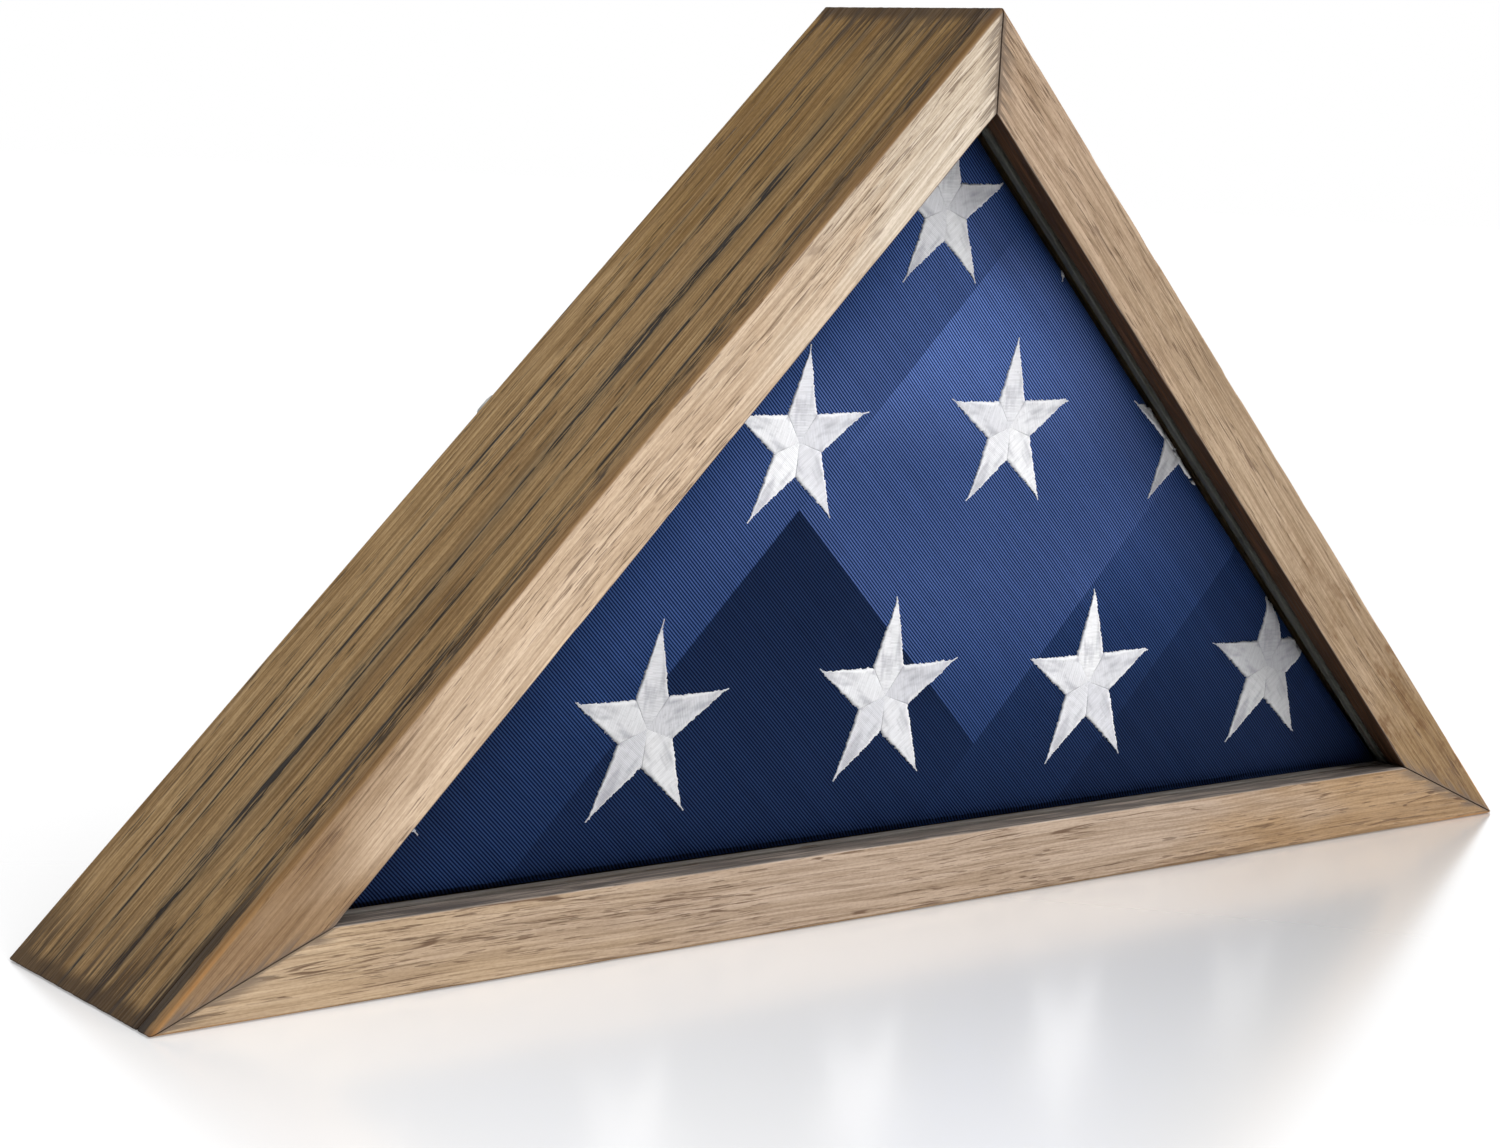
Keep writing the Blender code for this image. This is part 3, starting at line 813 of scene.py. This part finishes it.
def inset_triangle(inset):
    """The outer triangle's corners, moved this far inside."""
    left = Vector((-HALF_BASE + inset / math.tan(HALF_ANGLE["left"]), 0, inset))
    right = Vector((-left.x, 0, inset))
    apex = Vector((0, 0, HALF_BASE - inset * math.sqrt(2)))
    return left, right, apex


def insets_of(points):
    """Distance of each point inside the three sides of the outer triangle."""
    x, z = points[:, 0], points[:, 2]
    slope = (HALF_BASE - z) / math.sqrt(2)
    return np.column_stack((z, slope - x / math.sqrt(2), slope + x / math.sqrt(2)))


INWARD = np.array([(0, 0, 1), (-math.sqrt(0.5), 0, -math.sqrt(0.5)), (math.sqrt(0.5), 0, -math.sqrt(0.5))])


def rounded_face(points, plane, towards):
    """Rounds a face's edges back by FLAG_EDGE, and pulls its corners in."""
    for _ in range(3):
        short = np.clip(FLAG_INSET + FLAG_EDGE - insets_of(points), 0, None)
        total = np.sqrt((short ** 2).sum(1))
        beyond = np.clip(total - FLAG_EDGE, 0, None) / np.maximum(total, 1e-9)
        points = points + (short * beyond[:, None]) @ INWARD
    short = np.clip(FLAG_INSET + FLAG_EDGE - insets_of(points), 0, None)
    total = np.minimum(np.sqrt((short ** 2).sum(1)), FLAG_EDGE)
    points[:, 1] = plane + towards * (FLAG_EDGE - np.sqrt(FLAG_EDGE ** 2 - total ** 2))
    return points


def bundle_mesh():
    """The bundle's closed skin: a triangular grid front and rear, and a wall between them."""
    n = FLAG_DIVISIONS
    left, right, apex = (np.array(corner) for corner in inset_triangle(FLAG_INSET))
    index, grid = {}, []
    for row in range(n + 1):
        for column in range(n + 1 - row):
            index[row, column] = len(grid)
            grid.append(left + (right - left) * column / n + (apex - left) * row / n)
    count = len(grid)
    front = rounded_face(np.array(grid), FLAG_FRONT, 1)
    rear = rounded_face(np.array(grid), FLAG_REAR, -1)
    triangles = []
    for row in range(n):
        for column in range(n - row):
            a, b, c = index[row, column], index[row, column + 1], index[row + 1, column]
            triangles.append((a, b, c))
            if column < n - row - 1:
                triangles.append((b, index[row + 1, column + 1], c))
    rim = [index[0, k] for k in range(n)]
    rim += [index[k, n - k] for k in range(n)]
    rim += [index[n - k, 0] for k in range(n)]
    rows = FLAG_LAYERS * LAYER_ROWS
    walls = [front[rim] + (rear[rim] - front[rim]) * k / rows for k in range(1, rows)]
    points = np.concatenate([front, rear] + walls)
    loops = [rim] + [[2 * count + k * len(rim) + i for i in range(len(rim))] for k in range(rows - 1)]
    loops.append([count + i for i in rim])
    faces = list(triangles) + [tuple(count + i for i in reversed(t)) for t in triangles]
    for upper, lower in zip(loops, loops[1:]):
        for i in range(len(rim)):
            after = (i + 1) % len(rim)
            faces.append((upper[after], upper[i], lower[i], lower[after]))
    return points, faces


def puff(piece):
    """The bundle's points after it has swollen a little, by a short cloth simulation."""
    rest = points_of(piece.data)
    cloth = piece.modifiers.new("puff", "CLOTH")
    for key, value in PUFF_SETTINGS.items():
        setattr(cloth.settings, key, value)
    cloth.settings.effector_weights.gravity = 0
    cloth.collision_settings.use_collision = False
    cloth.collision_settings.use_self_collision = False
    cloth.point_cache.frame_start = 1
    cloth.point_cache.frame_end = PUFF_FRAMES
    scene = bpy.context.scene
    for number in range(1, PUFF_FRAMES + 1):
        scene.frame_set(number)
        bpy.context.view_layer.update()
    shift = points_of(shown(piece).data) - rest
    piece.modifiers.remove(cloth)
    scene.frame_set(1)
    length = np.linalg.norm(shift, axis=1)
    cap = np.minimum(length, PUFF_LIMIT) / np.maximum(length, 1e-9)
    return rest + PUFF_SHARE * (shift * cap[:, None])


def fold_height(x, z):
    """Thickness of the layers under the front at a place, in fold steps."""
    rise = z - x
    fall = z + x
    def past(value, place):
        return smoothstep(value, place - FOLD_WIDTH / 2, place + FOLD_WIDTH / 2)
    centre = past(fall, FOLD_B) * (1 - past(rise, FOLD_A)) * past(rise, FOLD_C)
    return centre + 0.8 * past(rise, FOLD_A) + 0.5 * past(rise, FOLD_D) + 0.5 * past(rise, FOLD_E)


def make_flag():
    """The folded bundle, in place of its plain CAD solid."""
    points, faces = bundle_mesh()
    flag = mesh_object("flag_bundle", points, faces, flag_cloth())
    points = puff(flag)
    move_points(flag.data, shape_bundle(points))
    soften = flag.modifiers.new("soften", "SUBSURF")
    soften.levels = 1
    soften.render_levels = 1
    applied = bpy.data.meshes.new_from_object(shown(flag))
    flag.modifiers.clear()
    flag.data = applied
    points = fine_shape(points_of(applied))
    move_points(applied, points)
    applied.shade_smooth()
    _, crease, wall = wall_layers(points)
    # The creases also carry painted shade in the cloth's material
    set_attribute(flag, "crease", crease * wall)
    stand_for(flag, "folded_flag", "folded_flag")
    return flag


def shape_bundle(points):
    """Keeps the swollen bundle in its space, and creases its wall between the layers."""
    points = points.copy()
    short = np.clip(FLAG_INSET - insets_of(points), 0, None)
    points += short @ INWARD
    points[:, 1] = np.clip(points[:, 1], FLAG_FRONT + FACE_MARGIN, FLAG_REAR - FACE_MARGIN)
    layer, crease, wall = wall_layers(points)
    cells = np.column_stack((points[:, 0], np.floor(layer), points[:, 2]))
    ragged = stretched_noise(cells, (60 * MM, 1, 60 * MM), 5)
    inward = (WALL_CREASE * crease + WALL_UNEVEN * ragged) * wall
    nearest = insets_of(points).argmin(1)
    return points + INWARD[nearest] * inward[:, None]


def wall_layers(points):
    """Which layer each point is in, how deep in a crease it is, and 1 on the bundle's wall."""
    share = (points[:, 1] - FLAG_FRONT - FLAG_EDGE) / (FLAG_REAR - FLAG_FRONT - 2 * FLAG_EDGE)
    wall = smoothstep(share, -0.02, 0.04) * (1 - smoothstep(share, 0.96, 1.02))
    wall = wall * (insets_of(points).min(1) < FLAG_INSET + FLAG_EDGE)
    layer = share * FLAG_LAYERS + 0.3 * np.sin(5 * math.pi * share)
    layer += 0.7 * (noise(points / (90 * MM), 6) - 0.5) * np.clip(4 * share * (1 - share), 0, 1)
    return layer, np.abs(np.cos(math.pi * layer)) ** 4, wall


def fine_shape(points):
    """Fold steps and wrinkles on the flat faces."""
    points = points.copy()
    flat = smoothstep(insets_of(points).min(1), FLAG_INSET + 2 * MM, FLAG_INSET + FLAG_EDGE)
    front = (points[:, 1] < FLAG_FRONT + FACE_DEPTH) * flat
    rear = (points[:, 1] > FLAG_REAR - FACE_DEPTH) * flat
    steps = fold_height(points[:, 0], points[:, 2]) * FOLD_STEP
    turned = np.column_stack((points[:, 0] + points[:, 2], points[:, 1] * 0, points[:, 2] - points[:, 0]))
    waves = stretched_noise(turned, (60 * MM, 1, 34 * MM), 31)
    ripples = stretched_noise(turned, (9 * MM, 1, 26 * MM), 32)
    depth = FACE_SUNK - steps + FACE_WAVES * waves + FACE_RIPPLES * ripples
    points[:, 1] += front * depth
    points[:, 1] -= rear * depth
    return points


def flag_cloth():
    """Navy ribbed cloth with painted light and shade: lighter in the middle where it bulges towards the
    glass, darker low down, with painted sheen in the bands between the folds, painted shadow under the
    window's upper edges and painted shade in the wall's creases.
    """
    g = Surface("flag_cloth")
    x, _, z = g.axes(g.place)
    rise = g.math("SUBTRACT", z, x)
    fall = g.math("ADD", z, x)
    soft = g.noise(g.place, (0.12, 0.12, 0.05), 4, 2.0)

    def past(value, place, width=0.5 * MM):
        return g.step(value, place - width, place + width)

    # Painted highlight and shade by height: lighter in the middle where the bundle bulges towards the
    # glass, darker low down and near the top
    up = g.math("MULTIPLY_ADD", soft, 30 * MM, z)
    middle = g.times(g.step(up, 0.055, 0.135, 0.48, 1.0), g.step(up, 0.17, 0.22, 0.60, 1.02))
    middle = g.times(middle, g.step(up, 0.23, 0.27, 1.0, 0.54))
    # Painted sheen and shade of each band between the folds
    tone = g.between(past(fall, FOLD_B), g.step(up, 0.06, 0.20, 0.165, 0.11), middle)
    for fold, ramp in RIGHT_PAINTED_SHADING:
        tone = g.between(past(rise, fold), g.step(up, *ramp), tone)
    tone = g.between(past(rise, FOLD_A), tone, g.step(up, 0.055, 0.200, 0.22, 0.62))
    tone = g.times(tone, g.step(rise, WINDOW_RISE, WINDOW_RISE - 50 * MM, 0.6, 1.0))
    shadow = g.step(fall, WINDOW_FALL - 30 * MM, WINDOW_FALL)
    shadow = g.times(shadow, g.step(up, 0.10, 0.20, 0.0, 0.6))
    tone = g.times(tone, g.math("SUBTRACT", 1.0, shadow))
    # Painted shade in the creases of the bundle's wall
    tone = g.times(tone, g.step(g.attribute("crease"), 0.1, 0.9, 1.0, 0.3))

    rib = g.wave(g.times(fall, 2 * math.pi / (math.sqrt(2) * WEAVE_PITCH)))
    pick = g.wave(g.times(rise, 2 * math.pi / (math.sqrt(2) * PICK_PITCH)))
    thread = g.times(g.step(rib, 0.2, 0.8), g.step(pick, 0.0, 1.0, 0.86, 1.0))
    turned = g.add("CombineXYZ", {0: fall, 1: g.axes(g.place)[1], 2: rise}).outputs[0]
    slubs = g.noise(turned, (3 * MM, 60 * MM, 90 * MM), 3, 2.0)

    colour = g.mix(thread, rgb(18, 34, 76), rgb(98, 124, 184))
    colour = g.shade(colour, g.step(slubs, 0.35, 0.65, 0.95, 1.05))
    colour = g.shade(colour, tone)
    # Where the painted shade is deepest, the navy turns bluer
    colour = g.tint(g.step(tone, 0.75, 0.2), colour, (0.66, 0.88, 1.04))
    return g.finish(colour, 0.7, g.bump(rib, 0.1 * MM, 0.5), Specular_IOR_Level=0.03)


# ---------------------------------------------------------------- stars

def wrapped(x, z, lift, surface):
    """Where a point of the front pattern lies on the flag, lifted off it. Beyond the flat it bends back."""
    place = np.array([[x, 0, z]])
    insets = insets_of(place)[0]
    side = insets.argmin()
    bend = FLAG_INSET + FLAG_EDGE
    over = bend - insets[side]
    if over <= 0:
        hit = surface.ray_cast(Vector((x, FLAG_FRONT - 0.05, z)), Vector((0, 1, 0)))[0]
        return Vector((x, hit.y - lift, z)) if hit else Vector((x, FLAG_FRONT - lift, z))
    angle = min(over / FLAG_EDGE, math.pi / 2)
    rest = over - angle * FLAG_EDGE
    inward = Vector(INWARD[side])
    flat = Vector((x, FLAG_FRONT, z)) + inward * over
    depth = FLAG_EDGE * (1 - math.cos(angle)) + rest
    place = flat - inward * (FLAG_EDGE * math.sin(angle)) + Vector((0, depth, 0))
    hit, normal, _, _ = surface.find_nearest(place)
    return hit + normal * lift


def star_shape(centre, radius, lean, tone, rows, seed, place_point):
    """An embroidered star: five arms of satin stitches laid across each arm's axis.

    Neighbouring arms meet in seams from the star's centre to its inner corners.
    """
    waist = radius * STAR_WAIST
    elbow = waist * math.cos(math.pi / 5)
    half_width = waist * math.sin(math.pi / 5)
    shape = bmesh.new()
    layers = [shape.verts.layers.float.new(key) for key in ("stitch", "reach", "sheen", "rim", "tone")]
    rng = np.random.default_rng(seed)
    for arm in range(5):
        heading = math.pi / 2 + arm * 2 * math.pi / 5
        axis = Vector((math.cos(heading), math.sin(heading)))
        across = Vector((-axis.y, axis.x))
        sheen = rng.uniform(0.0, 1.0)
        tail = rng.uniform(0.0, STAR_TAIL)
        curl = rng.uniform(-STAR_CURL, STAR_CURL)
        grid = []
        for i in range(rows + 1):
            a = (radius + tail) * i / rows
            outside = a > elbow
            width = half_width * (a / elbow if not outside else (radius - a) / (radius - elbow))
            ragged = rng.normal(0, STAR_RAGGED, 2) if outside and i < rows else (0, 0)
            ridge = STAR_RIDGE if i % 2 else -STAR_RIDGE
            bend = curl * smoothstep(a, radius - 2 * MM, radius + tail + 0.1 * MM)
            taper = 0.45 + 0.55 * min(1.0, max(width, 0) / half_width * 1.6)
            line = []
            for t in STAR_LATERAL:
                side = max(width + ragged[0 if t > 0 else 1], STAR_TAIL_WIDTH if outside else 0)
                flat = axis * a + across * (t * side + bend) if i else Vector((0, 0))
                bulge = star_bulge(abs(t), outside, a / elbow)
                lift = STAR_HEIGHT * bulge * taper + ridge * bulge
                x = centre[0] + flat.x * STAR_STRETCH[0] + flat.y * lean
                z = centre[1] + flat.y * STAR_STRETCH[1]
                vertex = shape.verts.new(place_point(x, z, max(lift, 0.0)))
                rim = abs(t) >= STAR_RIM and outside
                for layer, value in zip(layers, (a, t * side + arm * 0.1, sheen, rim, tone)):
                    vertex[layer] = value
                line.append(vertex)
            grid.append(line)
        for i in range(rows):
            for j in range(len(STAR_LATERAL) - 1):
                shape.faces.new((grid[i][j], grid[i][j + 1], grid[i + 1][j + 1], grid[i + 1][j]))
    bmesh.ops.remove_doubles(shape, verts=shape.verts, dist=STAR_SEAM)
    return shape


def trim_star(shape):
    """Cuts off what would wrap over the edges of the flag's front face."""
    whole = shape.verts[:] + shape.edges[:] + shape.faces[:]
    fold = Vector((0, FLAG_FRONT + STAR_FOLD, 0))
    bmesh.ops.bisect_plane(shape, geom=whole, plane_co=fold, plane_no=(0, 1, 0), clear_outer=True)


def star_bulge(t, outside, inwards):
    """Height of the stitches across an arm: a raised rim outside, a shallow seam to the next arm inside."""
    if outside:
        return 0.0 if t == 1 else 0.85 + 0.25 * (t / STAR_RIM) ** 4
    seam = 0.30 * t ** 4 * min(1.0, inwards * 2)
    return 0.9 - seam


def finish_star(name, shape, material):
    """Closes a star's shell by a skirt that goes into the cloth, and makes the object."""
    loose = [vertex for vertex in shape.verts if not vertex.link_faces]
    bmesh.ops.delete(shape, geom=loose, context="VERTS")
    bmesh.ops.recalc_face_normals(shape, faces=shape.faces)
    mesh = mesh_of(name, shape)
    mesh.shade_smooth()
    mesh.materials.append(material)
    star = new_object(name, mesh)
    backing = star.modifiers.new("backing", "SOLIDIFY")
    backing.thickness = STAR_BACKING
    backing.offset = -1
    return star


def star_thread():
    """White satin thread, its stitches laid across each arm, with painted sheen on each arm, a painted
    highlight on its raised rims and painted shade on each star.
    """
    g = Surface("star_thread")
    stitch = g.attribute("stitch")
    reach = g.attribute("reach")
    place = g.add("CombineXYZ", {0: stitch, 1: reach}).outputs[0]
    uneven = g.noise(place, (2 * MM, 3 * MM, 1), 3, 2.0)
    phase = g.math("MULTIPLY_ADD", uneven, 3.0, g.times(stitch, 2 * math.pi / STITCH))
    thread = g.wave(phase)
    strands = g.noise(place, (0.8 * MM, 8 * MM, 1), 4, 2.0, 0.6)
    patches = g.noise(place, (16 * MM, 5 * MM, 1), 5, 2.0, 0.6)
    specks = g.noise(g.place, (1.2 * MM, 1.2 * MM, 1.2 * MM), 6, 2.0)
    # Painted sheen: each arm's thread is lighter or greyer, with greyer painted sheen patches
    colour = g.mix(g.attribute("sheen"), rgb(236, 236, 237), rgb(210, 210, 215))
    colour = g.mix(g.step(patches, 0.46, 0.70, 0.0, 0.75), colour, rgb(172, 172, 179))
    colour = g.shade(colour, g.step(strands, 0.35, 0.65, 0.91, 1.03))
    colour = g.shade(colour, g.step(specks, 0.60, 0.75, 1.0, 0.86))
    colour = g.shade(colour, g.step(thread, 0.0, 1.0, 0.93, 1.02))
    # Painted highlight along the raised rims of the arms
    colour = g.mix(g.times(g.attribute("rim"), 0.7), colour, rgb(240, 240, 241))
    # Painted shade: each star's thread is darkened as far as the rails shade it
    colour = g.shade(colour, g.attribute("tone"))
    return g.finish(colour, 0.5, g.bump(thread, 0.08 * MM, 0.6), Specular_IOR_Level=0.3)


def make_stars(flag):
    """Stars on the front and the rear of the bundle."""
    bpy.context.view_layer.update()
    surface = BVHTree.FromObject(flag, bpy.context.evaluated_depsgraph_get())
    thread = star_thread()

    def on_front(x, z, lift):
        return wrapped(x, z, lift, surface)

    def on_rear(x, z, lift):
        hit = surface.ray_cast(Vector((x, FLAG_REAR + 0.05, z)), Vector((0, -1, 0)))[0]
        return Vector((x, (hit.y if hit else FLAG_REAR) + lift, z))

    stars = []
    front = [(radius, place) for radius, row in FRONT_STARS for place in row]
    for number, (radius, (x, z, lean, tone)) in enumerate(front):
        shape = star_shape((x, z), radius, lean, tone, STAR_ROWS, number, on_front)
        trim_star(shape)
        stars.append(finish_star("star_front_%d" % number, shape, thread))
    rear = [(k - (count - 1) / 2, height) for height, count in REAR_STAR_ROWS for k in range(count)]
    for number, (column, height) in enumerate(rear):
        centre = (column * REAR_STAR_PITCH, height)
        seed = REAR_STAR_SEED + number
        shape = star_shape(centre, REAR_STAR_RADIUS, 0, REAR_STAR_TONE, STAR_ROWS // 2, seed, on_rear)
        stars.append(finish_star("star_rear_%d" % number, shape, thread))
    for star in stars:
        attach(star, "folded_flag")


# ---------------------------------------------------------------- glass, back and hardware

def glass():
    """Clear picture glass with a low reflection."""
    g = Surface("picture_glass")
    clear = g.add("BsdfTransparent").outputs[0]
    shine = g.add("BsdfAnisotropic", {"Roughness": 0.04}).outputs[0]
    return g.glossy_at_grazing(clear, shine, 0.45, 1.0, 0.0, 0.7)


def fibreboard():
    """Brown hardboard with fine fibres and soft mottling."""
    g = Surface("fibreboard")
    clouds = g.noise(g.place, (0.07, 0.07, 0.07), 1, 4.0, 0.6)
    flecks = g.noise(g.place, (2.2 * MM, 1 * MM, 1.1 * MM), 2, 3.0, 0.7)
    hairs = g.noise(g.place, (7 * MM, 1 * MM, 0.5 * MM), 3, 2.0)
    colour = g.mix(g.step(clouds, 0.3, 0.7), rgb(138, 108, 76), rgb(118, 89, 60))
    colour = g.shade(colour, g.step(flecks, 0.35, 0.65, 1.22, 0.72))
    colour = g.mix(g.step(hairs, 0.62, 0.72, 0.0, 0.5), colour, rgb(70, 50, 34))
    height = g.math("MULTIPLY_ADD", flecks, 0.6, hairs)
    return g.finish(colour, g.step(clouds, 0.3, 0.7, 0.62, 0.78), g.bump(height, 0.2 * MM, 0.6))


def zinc():
    """Zinc-plated steel, faintly brushed and spotted."""
    g = Surface("zinc_plate")
    brush = g.noise(g.place, (0.5 * MM, 0.5 * MM, 9 * MM), 1, 3.0, 0.6)
    clouds = g.noise(g.place, (5 * MM, 5 * MM, 5 * MM), 2, 3.0)
    colour = g.mix(g.step(clouds, 0.3, 0.7), rgb(176, 176, 172), rgb(146, 146, 142))
    rough = g.step(clouds, 0.3, 0.7, 0.26, 0.48)
    return g.finish(colour, rough, g.bump(brush, 0.03 * MM, 0.5), Metallic=1.0)


def rubber():
    """Matt black rubber with a fine grain and a little dust."""
    g = Surface("black_rubber")
    grain = g.noise(g.place, (0.5 * MM, 0.5 * MM, 0.5 * MM), 1, 2.0)
    dust = g.noise(g.place, (3 * MM, 3 * MM, 3 * MM), 2, 3.0)
    colour = g.mix(g.step(dust, 0.4, 0.8), rgb(30, 30, 31), rgb(62, 60, 58))
    return g.finish(colour, g.step(dust, 0.3, 0.7, 0.6, 0.8), g.bump(grain, 0.06 * MM, 0.5))


def screw_mesh(node, material):
    """A round-head screw with a cross recess, in place of a plain CAD one."""
    low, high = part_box(node)
    centre = (low + high) / 2
    head = (high.x - low.x) / 2
    plane = high.y - SCREW_HEAD_HEIGHT
    angles = np.linspace(0, 2 * math.pi, SCREW_SIDES, endpoint=False)
    rings = []
    for share in np.linspace(0.04, 1, SCREW_RINGS):
        x = head * share * np.cos(angles)
        z = head * share * np.sin(angles)
        inside_arm = 1 - smoothstep(np.minimum(np.abs(x), np.abs(z)), *SCREW_SLOT_WIDTH)
        inside_reach = 1 - smoothstep(np.maximum(np.abs(x), np.abs(z)), *SCREW_SLOT_REACH)
        y = SCREW_HEAD_HEIGHT * math.sqrt(1 - 0.97 * share ** 2.4)
        y = y - inside_arm * inside_reach * SCREW_SLOT_DEPTH
        rings.append(np.column_stack((centre.x + x, plane + y, centre.z + z)))
    core = SCREW_CORE / head
    for share, y in ((0.9, plane), (core, plane), (core, low.y + SCREW_POINT)):
        circle = np.column_stack((np.cos(angles), np.zeros(SCREW_SIDES), np.sin(angles)))
        rings.append(circle * head * share + np.array((centre.x, y, centre.z)))
    tips = np.array([(centre.x, rings[0][0, 1], centre.z), (centre.x, low.y, centre.z)])
    points = np.concatenate(rings + [tips])
    faces = ring_faces(len(rings), SCREW_SIDES)
    last = (len(rings) - 1) * SCREW_SIDES
    for j in range(SCREW_SIDES):
        after = (j + 1) % SCREW_SIDES
        faces.append((after, j, len(points) - 2))
        faces.append((last + j, last + after, len(points) - 1))
    screw = mesh_object("detailed_" + node, points, faces, material)
    stand_for(screw, node, "case")


def finish_node(node, material):
    """Gives a CAD node its material."""
    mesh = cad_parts[node].data
    mesh.materials.clear()
    mesh.materials.append(material)


def soften_edges(node, width):
    """Rounds a CAD node's edges as it is shown."""
    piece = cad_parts[node]
    piece.data.set_sharp_from_angle(angle=EDGE_ANGLE)
    weld = piece.modifiers.new("weld", "WELD")
    weld.merge_threshold = WELD_REACH
    edge = piece.modifiers.new("edge", "BEVEL")
    edge.width = width
    edge.segments = 3
    edge.limit_method = "ANGLE"
    edge.angle_limit = EDGE_ANGLE
    edge.harden_normals = True


def make_rest():
    """Materials of the CAD nodes that are shown as they are."""
    metal = zinc()
    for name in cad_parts:
        if name.startswith(("button_screw_", "hanger_screw_")):
            screw_mesh(name, metal)
        elif name.startswith(("turn_button_", "hanger_", "corner_nail_")):
            finish_node(name, metal)
            soften_edges(name, METAL_EDGE)
        if name.startswith("wall_bumper_"):
            finish_node(name, rubber())
            soften_edges(name, RUBBER_EDGE)
    finish_node("glass_pane", glass())
    finish_node("back_panel", fibreboard())


# ---------------------------------------------------------------- camera, light and floor

def make_camera():
    """The camera at the photograph's viewing angle."""
    data = bpy.data.cameras.new("camera")
    data.lens = CAMERA_LENS
    data.sensor_width = CAMERA_SENSOR
    camera = new_object("camera", data)
    forward = CAMERA_FORWARD.normalized()
    right = forward.cross(CAMERA_UP).normalized()
    axes = Matrix((right, right.cross(forward), -forward)).transposed()
    camera.matrix_world = Matrix.Translation(CAMERA_AT) @ axes.to_4x4()
    bpy.context.scene.camera = camera


def make_light():
    """A white studio: a broad soft key from above the front, and a white surround."""
    world = bpy.data.worlds.new("studio")
    bpy.context.scene.world = world
    g = Nodes(world, "World Output")
    lit, seen = (
        g.add("Background", {"Color": (1, 1, 1, 1), "Strength": strength}).outputs[0]
        for strength in (SURROUND, 1.0)
    )
    path = g.add("LightPath").outputs
    direct = g.math("MAXIMUM", path["Is Camera Ray"], path["Is Glossy Ray"])
    g.mix_shaders(direct, lit, seen)
    data = bpy.data.lights.new("key", "SUN")
    data.energy = KEY_STRENGTH
    data.angle = KEY_SOFTNESS
    key = new_object("key", data)
    key.rotation_euler = (-Vector(KEY_FROM)).to_track_quat("-Z", "Y").to_euler()


def make_floor():
    """A white glossy floor, lit a little from below, as a photographer's light table is."""
    g = Surface("floor")
    matt = g.add("BsdfDiffuse", {"Color": FLOOR_COLOUR}).outputs[0]
    shine = g.add("BsdfAnisotropic", {"Color": (1, 1, 1, 1), "Roughness": FLOOR_ROUGHNESS}).outputs[0]
    glow = g.add("Emission", {"Strength": FLOOR_GLOW}).outputs[0]
    lit = g.add("AddShader", {0: matt, 1: glow}).outputs[0]
    shape = bmesh.new()
    bmesh.ops.create_circle(shape, cap_ends=True, segments=FLOOR_SIDES, radius=FLOOR_RADIUS)
    mesh = mesh_of("floor", shape)
    mesh.materials.append(g.glossy_at_grazing(lit, shine, *FLOOR_GRAZING, *FLOOR_GLOSS))
    floor = new_object("floor", mesh)
    floor.location.z = -FLOOR_GAP


bpy.context.scene.view_settings.view_transform = "Standard"
make_camera()
make_light()
make_floor()
make_wood()
make_stars(make_flag())
make_rest()
